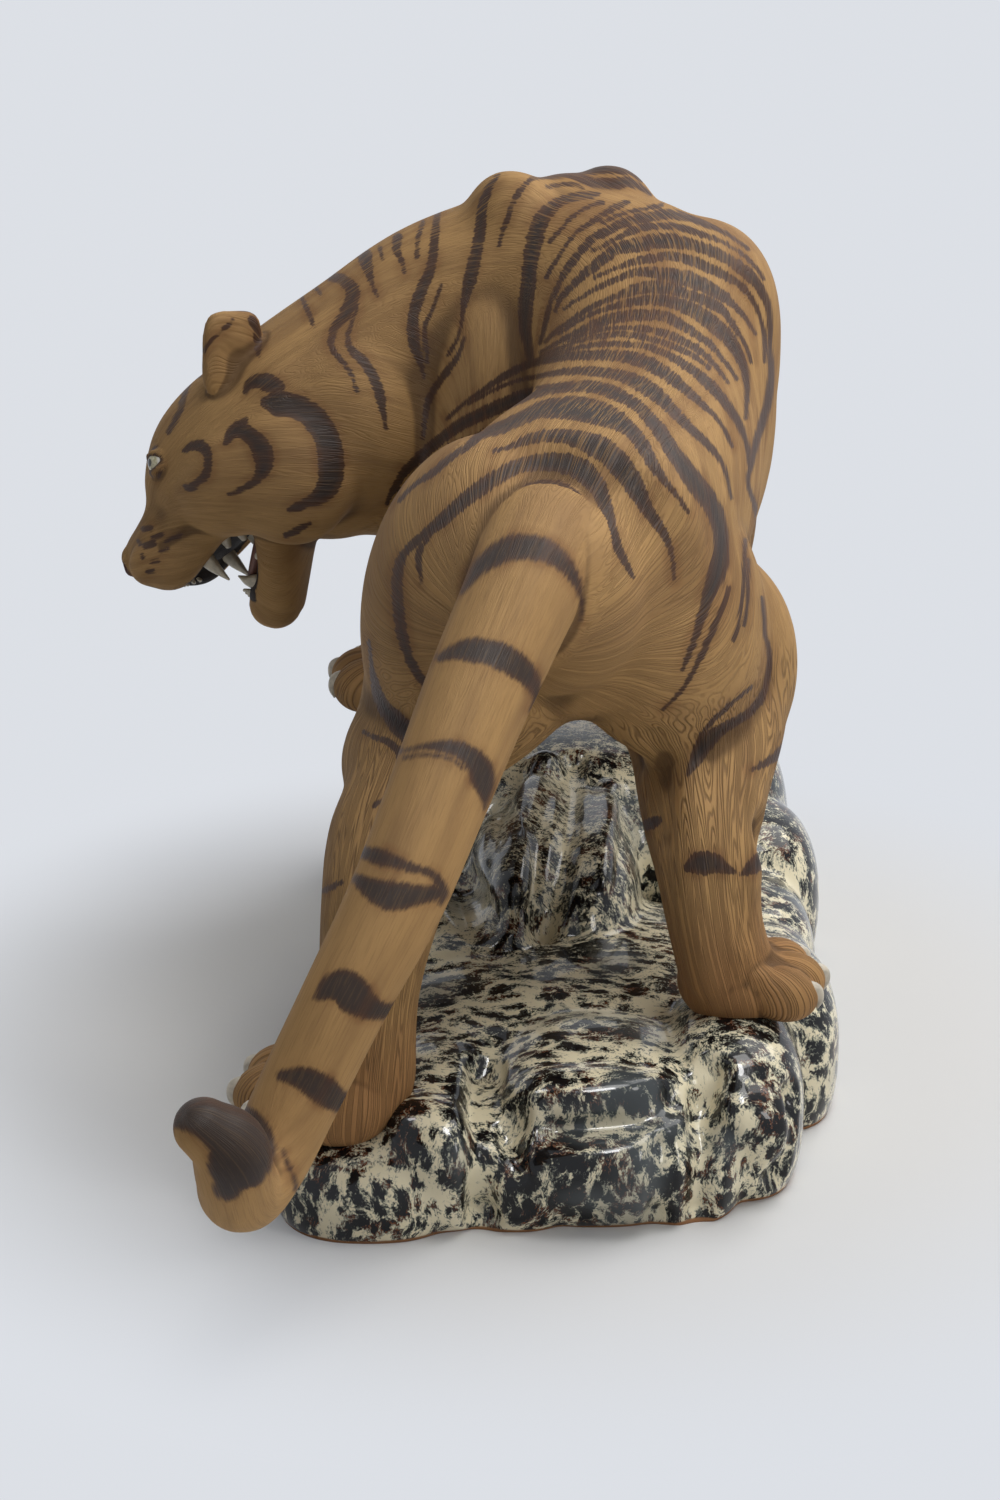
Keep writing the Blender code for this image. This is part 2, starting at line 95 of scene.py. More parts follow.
def setStudio():
    material, tree, shader = newFinish("paleTable")
    shader.inputs["Base Color"].default_value = (*studio["floorColour"], 1)
    shader.inputs["Roughness"].default_value = 0.6
    shader.inputs["Specular IOR Level"].default_value = 0.15
    spot = addNode(tree, "TexCoord").outputs["Object"]
    far = addNode(tree, "VectorMath", {0: spot}, operation="LENGTH").outputs["Value"]
    fade = times(tree, ramped(tree, far, *studio["floorRim"]), seenDirectly(tree))
    glow = addNode(tree, "Emission", {"Color": (*studio["backdropColour"], 1), "Strength": 1.0})
    mix = addNode(tree, "MixShader", {0: fade, 1: shader.outputs[0], 2: glow.outputs[0]})
    tree.links.new(mix.outputs[0], tree.nodes["Material Output"].inputs[0])
    shape = bmesh.new()
    bmesh.ops.create_grid(shape, x_segments=1, y_segments=1, size=40.0)
    mesh = bpy.data.meshes.new("table")
    shape.to_mesh(mesh)
    shape.free()
    mesh.materials.append(material)
    addObject("table", mesh)

    world = bpy.data.worlds.new("studio")
    bpy.context.scene.world = world
    world.use_nodes = True
    tree = world.node_tree
    tree.nodes.clear()
    sky = addNode(tree, "Background", {"Color": (*studio["skyColour"], 1), "Strength": studio["skyStrength"]})
    backdrop = addNode(tree, "Background", {"Color": (*studio["backdropColour"], 1), "Strength": 1.0})
    mix = addNode(tree, "MixShader", {0: seenDirectly(tree), 1: sky.outputs[0], 2: backdrop.outputs[0]})
    addNode(tree, "OutputWorld", {0: mix.outputs[0]})

    for name, (place, aim, size, watts, colour) in (studio["lamps"] | studio["panes"]).items():
        lamp = bpy.data.lights.new(name, "AREA")
        lamp.shape = "RECTANGLE"
        lamp.size, lamp.size_y = size[0] * millimetre, size[1] * millimetre
        lamp.energy = watts
        lamp.color = colour
        holder = bpy.data.objects.new(name, lamp)
        holder.location = Vector(place) * millimetre
        holder.rotation_euler = (Vector(aim) - Vector(place)).to_track_quat("-Z", "Y").to_euler()
        holder.visible_diffuse = name not in studio["panes"]
        bpy.context.scene.collection.objects.link(holder)
    bpy.context.scene.view_settings.view_transform = "Standard"


def seenDirectly(tree):
    # 1 for what the camera, a reflection or glass shows, 0 for light that falls on the object
    path = addNode(tree, "LightPath")
    mirrored = mathValue(tree, "ADD", path.outputs["Is Glossy Ray"], path.outputs["Is Transmission Ray"])
    return mathValue(tree, "ADD", path.outputs["Is Camera Ray"], mirrored, clamp=True)


def addNode(tree, kind, inputs=None, **settings):
    node = tree.nodes.new("ShaderNode" + kind)
    for name, value in settings.items():
        setattr(node, name, value)
    for socket, value in (inputs or {}).items():
        if isinstance(value, bpy.types.NodeSocket):
            tree.links.new(value, node.inputs[socket])
        else:
            node.inputs[socket].default_value = value
    return node


def newFinish(name):
    material = bpy.data.materials.new(name)
    material.use_nodes = True
    tree = material.node_tree
    return material, tree, tree.nodes["Principled BSDF"]


def mixColour(tree, factor, a, b):
    # a and b are sockets, or colours of three numbers
    a, b = ((*colour, 1) if isinstance(colour, tuple) else colour for colour in (a, b))
    return addNode(tree, "Mix", {0: factor, 6: a, 7: b}, data_type="RGBA").outputs[2]


def mixValue(tree, factor, a, b):
    return addNode(tree, "Mix", {0: factor, 2: a, 3: b}).outputs[0]


def mathValue(tree, operation, a, b=0.0, c=0.0, clamp=False):
    return addNode(tree, "Math", {0: a, 1: b, 2: c}, operation=operation, use_clamp=clamp).outputs[0]


def times(tree, a, b):
    return mathValue(tree, "MULTIPLY", a, b)


def minus(tree, a, b):
    return mathValue(tree, "SUBTRACT", a, b)


def vectorMath(tree, operation, a, b):
    return addNode(tree, "VectorMath", {0: a, 1: b}, operation=operation).outputs[0]


def splitVector(tree, vector):
    return addNode(tree, "SeparateXYZ", {0: vector}).outputs


def attribute(tree, name):
    return addNode(tree, "Attribute", attribute_name=name).outputs


def threeValues(tree, name):
    return splitVector(tree, attribute(tree, name)["Vector"])


def ramped(tree, value, low, high, out=(0.0, 1.0)):
    sockets = {"Value": value, 1: low, 2: high, 3: out[0], 4: out[1]}
    return addNode(tree, "MapRange", sockets, interpolation_type="SMOOTHSTEP").outputs[0]


def perGrain(tree, point, grain):
    # grain is the size of a pattern's features along each axis
    return vectorMath(tree, "MULTIPLY", point, tuple(1 / size for size in grain))


def stretchedNoise(tree, point, grain, detail, roughness=0.6, distortion=0.0):
    sockets = {"Vector": perGrain(tree, point, grain), "Scale": 1.0, "Detail": detail}
    return addNode(tree, "TexNoise", sockets | {"Roughness": roughness, "Distortion": distortion}).outputs


def noiseShift(tree, point, grain, size):
    # a shift of each point by noise, below size along each axis
    return vectorMath(tree, "MULTIPLY", stretchedNoise(tree, point, grain, 2.0)["Color"], (size,) * 3)


def addObject(name, mesh):
    thing = bpy.data.objects.new(name, mesh)
    bpy.context.scene.collection.objects.link(thing)
    return thing


def objectFrom(name, shape):
    bmesh.ops.recalc_face_normals(shape, faces=shape.faces)
    mesh = bpy.data.meshes.new(name)
    shape.to_mesh(mesh)
    shape.free()
    return addObject(name, mesh)


def smoothPath(stations, steps):
    # Catmull-Rom through rows of numbers
    rows = np.array(stations, float)
    ends = np.vstack([2 * rows[0] - rows[1], rows, 2 * rows[-1] - rows[-2]])
    out = []
    for i in range(len(rows) - 1):
        a, b, c, d = ends[i : i + 4]
        for t in np.linspace(0, 1, steps, endpoint=False):
            curve = 2 * b + (c - a) * t + (2 * a - 5 * b + 4 * c - d) * t**2
            out.append((curve + (3 * b - a - 3 * c + d) * t**3) / 2)
    out.append(rows[-1])
    return np.array(out)


capAngles = (0.0, 0.3, 0.6, 0.9, 1.2)


def loft(name, stations, upward=worldUp, squareness=2.0, sides=28, place=None):
    # a limb through stations of x, y, z, half width and half height, rounded at both ends
    rows = smoothPath(stations, 5)
    centres = [Vector(r[:3]) for r in rows]
    shape = bmesh.new()
    rings = []
    last = len(rows) - 1
    for i, (centre, row) in enumerate(zip(centres, rows)):
        along = (centres[min(i + 1, last)] - centres[max(i - 1, 0)]).normalized()
        side = along.cross(upward).normalized()
        up = side.cross(along).normalized()
        caps = [(0.0, 1.0)]
        if i == 0:
            caps = [(-sin(a), cos(a)) for a in reversed(capAngles)]
        if i == last:
            caps = [(sin(a), cos(a)) for a in capAngles]
        reach = min(row[3], row[4])
        for shift, size in caps:
            middle = centre + along * reach * shift
            ring = []
            for k in range(sides):
                angle = 2 * pi * k / sides
                across, upright = cos(angle), sin(angle)
                length = (abs(across) ** squareness + abs(upright) ** squareness) ** (1 / squareness)
                point = middle + (side * row[3] * across + up * row[4] * upright) * size / length
                ring.append(shape.verts.new(point))
            rings.append(ring)
    for one, two in zip(rings, rings[1:]):
        for k in range(sides):
            j = (k + 1) % sides
            shape.faces.new((one[k], one[j], two[j], two[k]))
    shape.faces.new(rings[0])
    shape.faces.new(rings[-1])
    if place is not None:
        shape.transform(place)
    return objectFrom(name, shape)


def ball(name, centre, radii, turn=(0, 0, 0), place=None, squareness=2.0):
    shape = bmesh.new()
    bmesh.ops.create_icosphere(shape, subdivisions=5, radius=1.0)
    for v in shape.verts:
        length = sum(abs(c) ** squareness for c in v.co) ** (1 / squareness)
        v.co = v.co / length
    spin = Matrix.Rotation(radians(turn[2]), 4, "Z") @ Matrix.Rotation(radians(turn[1]), 4, "Y")
    spin = spin @ Matrix.Rotation(radians(turn[0]), 4, "X")
    put = Matrix.Translation(Vector(centre)) @ spin @ Matrix.Diagonal((*radii, 1.0))
    shape.transform(put if place is None else place @ put)
    return objectFrom(name, shape)


def fuse(name, pieces, grid, soften):
    # joins overlapping pieces into one skin of clay and softens the creases between them
    shape = bmesh.new()
    for piece in pieces:
        shape.from_mesh(piece.data)
        bpy.data.objects.remove(piece)
    mesh = bpy.data.meshes.new(name)
    shape.to_mesh(mesh)
    shape.free()
    clay = addObject(name, mesh)
    remesh = clay.modifiers.new("skin", "REMESH")
    remesh.mode = "VOXEL"
    remesh.voxel_size = grid
    soft = clay.modifiers.new("soften", "SMOOTH")
    soft.factor = 0.5
    soft.iterations = soften
    graph = bpy.context.evaluated_depsgraph_get()
    fused = bpy.data.meshes.new_from_object(clay.evaluated_get(graph))
    clay.modifiers.clear()
    clay.data = fused
    return clay


bothSides = {"right": 1, "left": -1}


def mirrored(stations, sign):
    return [(sign * row[0], *row[1:]) for row in stations]


# The animal's large forms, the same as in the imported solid.
ledges = {"rearLeft": 38.0, "rearRight": 59.0, "frontLeft": 92.0, "frontRight": 99.0}
trunkForm = {
    "rumpHeight": 214.0,
    "loinHeight": 226.0,
    "chestHeight": 244.0,
    "neckHeight": 234.0,
    "hip": (58.0, 52.0),  # half width, half height
    "loin": (49.0, 54.0),
    "chest": (55.0, 69.0),
    "neck": (42.0, 60.0),
}
headForm = {
    "centre": Vector((-134.0, 135.0, 195.0)),
    "yaw": 12.0,
    "pitch": 28.0,
    "roll": 13.0,
    "gape": 57.0,
    "ear": (28.0, -27.3, 48.3),  # sideways, ahead and up from the middle of the head
    "eye": (20.5, 21.0, 19.5),  # where the left and right gaze leave the skin
    "gaze": (0.76, 0.58, 0.28),  # the way the right eye looks, in the head's axes
    "eyeRadius": 6.8,
    "eyeBulge": 2.6,
}
tailForm = {"root": 20.0, "middle": 15.5, "tip": 8.0}  # radii
skinGrain = {
    "coarseGrid": 2.2,
    "bodySoftening": 36,
    "fineGrid": 1.22,
    "lastSoftening": 7,
    # the animal is kept as four meshes that meet at these planes
    "neckSeam": -62.0,
    "shoulderSeam": 62.0,
    "rumpSeam": -72.0,
}


def headFrame():
    # from the head's own axes (x to its right, y to the nose, z up) to the figure's
    yaw, pitch, roll = radians(headForm["yaw"]), radians(headForm["pitch"]), radians(headForm["roll"])
    forward = Vector((-cos(yaw) * cos(pitch), sin(yaw) * cos(pitch), -sin(pitch)))
    right = forward.cross(worldUp).normalized()
    up = right.cross(forward)
    turn = Matrix((right, forward, up)).transposed().to_4x4()
    return Matrix.Translation(headForm["centre"]) @ turn @ Matrix.Rotation(roll, 4, "Y")


def jawFrame():
    # the lower jaw's own axes in the head's: y from the hinge to the chin
    return Matrix.Translation((0, -2, -20)) @ Matrix.Rotation(radians(-headForm["gape"]), 4, "X")


def trunkStations():
    form = trunkForm
    (hipW, hipH), (loinW, loinH), (chestW, chestH), (neckW, neckH) = (
        form["hip"], form["loin"], form["chest"], form["neck"]
    )
    rump, loin, chest, neck = form["rumpHeight"], form["loinHeight"], form["chestHeight"], form["neckHeight"]
    return [
        (-9, -108, rump + 4, 36, 36),
        (-4, -84, rump + 1, hipW - 4, hipH),
        (8, -46, rump + 6, hipW - 3, hipH + 2),
        (24, -4, loin, loinW, loinH),
        (33, 42, loin + 4, loinW - 1, loinH + 8),
        (38, 84, chest - 2, chestW - 4, chestH - 1),
        (24, 122, chest + 6, chestW - 1, chestH + 2),
        (-6, 146, chest + 9, chestW - 6, chestH - 2),
        (-44, 152, neck + 12, neckW + 2, neckH + 1),
        (-78, 146, neck - 2, neckW, neckH - 7),
        (-106, 138, neck - 17, neckW - 1, neckH - 10),
    ]


def trunk():
    return [
        loft("trunk", trunkStations(), squareness=2.35),
        ball("leftHaunch", (-33, -72, 201), (43, 58, 66), turn=(6, 8, 8)),
        ball("rightHaunch", (34, -54, 194), (40, 58, 58), turn=(-6, -14, -12)),
        ball("leftScapula", (-16, 138, 286), (23, 34, 44), turn=(-6, -6, 40)),
        ball("rightScapula", (21, 150, 288), (21, 32, 42), turn=(-6, 6, 40)),
        ball("withers", (4, 146, 281), (36, 34, 46)),
        ball("rightFlank", (48, 100, 263), (43, 50, 52), squareness=2.7),
        ball("breast", (30, 162, 214), (46, 30, 52), turn=(0, 0, 40)),
        ball("leftShoulder", (-30, 114, 226), (27, 34, 58), turn=(0, 4, 20)),
        ball("rightShoulder", (58, 136, 224), (27, 34, 56), turn=(0, -4, 30)),
        ball("belly", (27, 30, 196), (40, 62, 34), turn=(4, 0, 0)),
        ball("throat", (-74, 144, 200), (36, 34, 31)),
    ]


rightHindLeg = [
    (60, -24, 160, 27, 28),
    (54, -48, 147, 30, 29),
    (50.5, -80, 128, 24, 25),
    (52, -100, 111, 20.5, 20.5),
    (54, -107, ledges["rearRight"] + 33, 18, 19),
    (59.5, -107, ledges["rearRight"] + 12, 18.5, 19),
]
leftHindLeg = [
    (-54, -58, 150, 22, 26),
    (-57, -90, 148, 24.5, 28),
    (-58, -106, 140, 23.5, 26),
    (-63, -124, 127, 25.5, 24),
    (-68, -145, 109, 21.5, 21),
    (-72, -152, ledges["rearLeft"] + 44, 18.5, 19),
    (-75, -155, ledges["rearLeft"] + 14, 20.5, 20.5),
]
leftForeLeg = [
    (-28, 112, 214, 30, 34),
    (-30, 112, 180, 25, 28),
    (-40, 124, 148, 20, 22),
    (-49, 139, ledges["frontLeft"] + 30, 18, 18),
    (-54, 142, ledges["frontLeft"] + 12, 20, 19),
]
rightForeLeg = [
    (58, 136, 214, 30, 34),
    (62, 128, 180, 25, 28),
    (62, 136, 148, 20, 22),
    (58, 148, ledges["frontRight"] + 28, 18, 18),
    (57, 151, ledges["frontRight"] + 12, 20, 19),
]
tailStations = [
    (-7, -96, 230, tailForm["root"] + 8, tailForm["root"] + 6),
    (-11, -116, 235, tailForm["root"] + 2, tailForm["root"] + 2),
    (-18, -140, 227, tailForm["root"], tailForm["root"]),
    (-32, -170, 203, tailForm["root"] - 1.5, tailForm["root"] - 1.5),
    (-46, -198, 174.5, tailForm["middle"] + 1.5, tailForm["middle"] + 1.5),
    (-59, -220, 148, tailForm["middle"] + 0.5, tailForm["middle"] + 0.5),
    (-75, -238, 121, tailForm["middle"] - 1, tailForm["middle"] - 1),
    (-89, -250, 95, tailForm["middle"] - 1.5, tailForm["middle"] - 1.5),
    (-99, -262, 77, tailForm["middle"] - 2, tailForm["middle"] - 2),
    (-106, -277, 73, tailForm["middle"] - 2, tailForm["middle"] - 2),
    (-107, -291, 86, tailForm["tip"] + 4.5, tailForm["tip"] + 4.5),
    (-108, -299, 100, tailForm["tip"] + 4, tailForm["tip"] + 4),
    (-115, -302, 108, tailForm["tip"] + 1.5, tailForm["tip"] + 1.5),
]


def legs():
    return [
        ball("rightThigh", (59, -28, 166), (31, 34, 44), turn=(-16, -4, -12)),
        loft("rightShin", rightHindLeg, upward=Vector((0.3, 1, 0))),
        ball("leftThigh", (-48, -66, 162), (29, 38, 44), turn=(-14, 6, 10)),
        loft("leftShin", leftHindLeg, upward=Vector((-0.3, 1, 0))),
        loft("leftForeLeg", leftForeLeg, upward=Vector((-0.6, 1, 0))),
        loft("rightForeLeg", rightForeLeg, upward=Vector((0.1, 1, 0))),
    ]


pawForm = {
    "toeRadius": 11.0,
    "clawRadius": 2.4,
    "clawLength": 8.0,
    # where each toe's middle lies, across and along, and how far it turns out
    "toes": ((-20.0, 18.0, 22.0), (-7.5, 27.0, 8.0), (7.5, 27.0, -8.0), (20.0, 18.0, -22.0)),
    # name: the ground under the ankle, heading in degrees, size
    "paws": {
        "rightHindPaw": ((57.5, -106, ledges["rearRight"]), -72.0, 0.91),
        "leftHindPaw": ((-77, -158, ledges["rearLeft"]), 77.0, 1.02),
        "leftForePaw": ((-56, 143, ledges["frontLeft"]), 62.0, 1.08),
        "rightForePaw": ((57, 152, ledges["frontRight"]), -6.0, 1.08),
    },
}


def pawFrame(place, heading, size):
    turn = Matrix.Rotation(radians(heading), 4, "Z")
    return Matrix.Translation(Vector(place)) @ turn @ Matrix.Diagonal((size, size, size, 1.0))


def paws():
    pieces = []
    radius = pawForm["toeRadius"]
    for name, (place, heading, size) in pawForm["paws"].items():
        put = pawFrame(place, heading, size)
        pieces.append(ball(f"{name}Pad", (0, 5, 9), (24, 23, 18), place=put))
        for i, (across, along, turn) in enumerate(pawForm["toes"]):
            toe = (radius, radius + 4, radius + 0.5)
            pieces.append(ball(f"{name}Toe{i}", (across, along, 9.5), toe, turn=(-12, 0, turn), place=put))
            knuckle = (across * 0.9, along - 9, 16)
            pieces.append(ball(f"{name}Knuckle{i}", knuckle, (7, 9, 7), turn=(-18, 0, turn), place=put))
    return pieces


def claws():
    pieces = []
    radius, length = pawForm["clawRadius"], pawForm["clawLength"]
    for name, (place, heading, size) in pawForm["paws"].items():
        put = pawFrame(place, heading, size)
        for i, (across, along, turn) in enumerate(pawForm["toes"]):
            toe = put @ Matrix.Translation((across, along, 9)) @ Matrix.Rotation(radians(turn), 4, "Z")
            front = pawForm["toeRadius"]
            hook = [
                (0, front - 2, 4, radius, radius * 1.3),
                (0, front + 2.5, 2.5, radius * 0.9, radius * 1.2),
                (0, front + 4.0, -1.5, radius * 0.6, radius * 0.8),
                (0, front + 3.5, 3 - length, 0.5, 0.6),
            ]
            pieces.append(loft(f"{name}Claw{i}", hook, upward=Vector((0, 1, 0.4)), place=toe, sides=14))
    return pieces


def headMass():
    put = headFrame()
    skull = [
        (0, -60, 8, 34, 42),
        (0, -40, 8, 37, 42),
        (0, -24, 9, 39, 42),
        (0, -8, 12, 38, 40),
        (0, 8, 11, 35, 34.5),
        (0, 21, 4, 30, 28.5),
        (0, 32, -4, 25, 22.5),
        (0, 44, -8, 21, 17),
        (0, 52, -9, 18, 14.5),
        (0, 58, -10, 13, 11),
    ]
    pieces = [loft("skull", skull, squareness=2.2, place=put)]
    for name, sign in bothSides.items():
        pieces += [
            ball(f"{name}Cheek", (sign * 25, -4, 1), (19, 31, 25), turn=(0, 0, sign * 16), place=put),
            ball(f"{name}Ruff", (sign * 26, -28, -6), (20, 30, 33), place=put),
            ball(f"{name}Brow", (sign * 14, 15, 25), (13, 12, 8), turn=(-35, 0, 0), place=put),
        ]
    return pieces


def headDetails():
    put = headFrame()
    bridge = [(0, 14, 25, 11, 10), (0, 28, 13, 9.5, 9), (0, 44, 3, 8.5, 7.5), (0, 59, -5, 8.5, 6.5)]
    pieces = [
        loft("noseBridge", bridge, place=put),
        ball("noseTip", (0, 64, -9), (9, 6, 7.5), place=put),
        ball("noseLeather", (0, 66, -11), (6.5, 4.5, 5.5), place=put, squareness=2.4),
    ]
    lip = [
        (25, -4, -12, 8, 9),
        (20, 14, -13, 7, 7.5),
        (17, 29, -17, 8, 8.5),
        (14, 43, -20, 10, 10.5),
        (9, 54, -16, 9, 9),
    ]
    spread, back, rise = headForm["ear"]
    for name, sign in bothSides.items():
        pieces += [
            ball(f"{name}WhiskerPad", (sign * 12, 48, -15), (11, 15, 11.5), place=put),
            loft(f"{name}Lip", mirrored(lip, sign), place=put),
            ball(
                f"{name}Ear",
                (sign * spread, back, rise),
                (4.2, 13, 18.2),
                turn=(18, sign * 28, -sign * 38),
                squareness=4.0,
                place=put,
            ),
        ]
    jawStations = [
        (0, -8, -6, 28, 13),
        (0, 10, -8.0, 20, 10.5),
        (0, 22, -8.5, 16.5, 10),
        (0, 32, -7.0, 15, 11.5),
        (0, 35, -6.5, 12.5, 11),
    ]
    pieces.append(loft("lowerJaw", jawStations, squareness=2.4, place=put @ jawFrame()))
    return pieces


def eyePlaces(body):
    # each eye's middle, gaze, sideways and up, set into the skin of the head where a ray meets it
    points, _ = meshArrays(body)
    tree = surfaceTree(points, readQuads(body).tolist())
    put = headFrame()
    places = {}
    for name, sign in bothSides.items():
        aim, gaze = (Vector(row) for row in mirrored((headForm["eye"], headForm["gaze"]), sign))
        aim, gaze = put @ aim, (put.to_3x3() @ gaze).normalized()
        hit = tree.ray_cast(aim + gaze * 40, -gaze)[0] or aim
        sideways = gaze.cross(put.to_3x3() @ worldUp).normalized()
        middle = hit - gaze * (headForm["eyeRadius"] - headForm["eyeBulge"])
        places[name] = (middle, gaze, sideways, sideways.cross(gaze))
    return places


def eyelids(name, place):
    middle, gaze, sideways, up = place
    radius = headForm["eyeRadius"] + 0.2
    lids = []
    for kind, lift in (("Upper", 0.56), ("Lower", -0.62)):
        stations = []
        for t in np.linspace(-1.25, 1.25, 7):
            rise = lift * cos(t)
            outward = gaze * (cos(t) * cos(rise)) + sideways * (sin(t) * cos(rise)) + up * sin(rise)
            stations.append((*(middle + outward * radius), 1.6, 1.6))
        lids.append(loft(f"{name}{kind}Lid", stations, sides=12))
    return lids


def meshArrays(thing):
    mesh = thing.data
    count = len(mesh.vertices)
    points, normals = np.empty(count * 3), np.empty(count * 3)
    mesh.vertices.foreach_get("co", points)
    mesh.vertices.foreach_get("normal", normals)
    return points.reshape(-1, 3), normals.reshape(-1, 3)


def setPoints(thing, points):
    thing.data.vertices.foreach_set("co", points.ravel())
    thing.data.update()


def pressDents(thing, place, dents):
    # each dent has a middle in the given axes, a radius and a depth
    points, normals = meshArrays(thing)
    for middle, radius, depth in dents:
        away = np.linalg.norm(points - np.array(place @ Vector(middle)), axis=1)
        strength = np.clip(1 - (away / radius) ** 2, 0, 1) ** 2
        points -= normals * (strength * depth)[:, None]
    setPoints(thing, points)


def nearestOnPath(points, path):
    # distance to a path of rows, and the row values blended at the nearest place
    best = np.full(len(points), 1e9)
    values = np.zeros((len(points), path.shape[1]))
    size = points.shape[1]
    for one, two in zip(path, path[1:]):
        step = two[:size] - one[:size]
        t = np.clip((points - one[:size]) @ step / max(step @ step, 1e-9), 0, 1)
        away = np.linalg.norm(points - one[:size] - t[:, None] * step, axis=1)
        closer = away < best
        best[closer] = away[closer]
        values[closer] = one + t[closer, None] * (two - one)
    return best, values


def pressCreases(thing, creases):
    # each crease is a path of x, y, z with a width and a depth
    points, normals = meshArrays(thing)
    moved = points.copy()
    for path, width, depth in creases:
        rows = smoothPath(path, 4)
        reach = width * 1.2
        low, high = rows.min(0) - reach, rows.max(0) + reach
        near = np.where(np.all((points > low) & (points < high), axis=1))[0]
        if len(near) == 0:
            continue
        away, _ = nearestOnPath(points[near], rows)
        strength = np.clip(1 - (away / width) ** 2, 0, 1) ** 2
        moved[near] -= normals[near] * (strength * depth)[:, None]
    setPoints(thing, moved)


def hollowness(points, normals, quads, rounds):
    # how far the smoothed surface stands outside each point, in millimetres; negative on ridges
    one = quads.ravel()
    two = np.roll(quads, 1, axis=1).ravel()
    count = len(points)
    neighbours = np.bincount(one, minlength=count) + np.bincount(two, minlength=count)
    smooth = points.copy()
    for _ in range(rounds):
        total = np.zeros_like(smooth)
        for axis in range(3):
            ahead = np.bincount(one, smooth[two, axis], count)
            total[:, axis] = ahead + np.bincount(two, smooth[one, axis], count)
        smooth = total / neighbours[:, None]
    return ((smooth - points) * normals).sum(1)


def readQuads(thing):
    corners = np.empty(len(thing.data.loops), int)
    thing.data.loops.foreach_get("vertex_index", corners)
    return corners.reshape(-1, 4)


def surfaceTree(points, faces):
    return BVHTree.FromPolygons([Vector(p) for p in points], faces)


def pixelRay(x, y):
    across = (x - photoView["imageWidth"] / 2) / photoView["focalPixels"]
    upward = (photoView["imageHeight"] / 2 - y) / photoView["focalPixels"]
    return (viewForward + viewRight * across + viewUp * upward).normalized()


def toPixels(points):
    offset = points - np.array(eyePoint)
    depth = offset @ np.array(viewForward)
    x = photoView["imageWidth"] / 2 + photoView["focalPixels"] * (offset @ np.array(viewRight)) / depth
    y = photoView["imageHeight"] / 2 - photoView["focalPixels"] * (offset @ np.array(viewUp)) / depth
    return np.stack([x, y], axis=1)


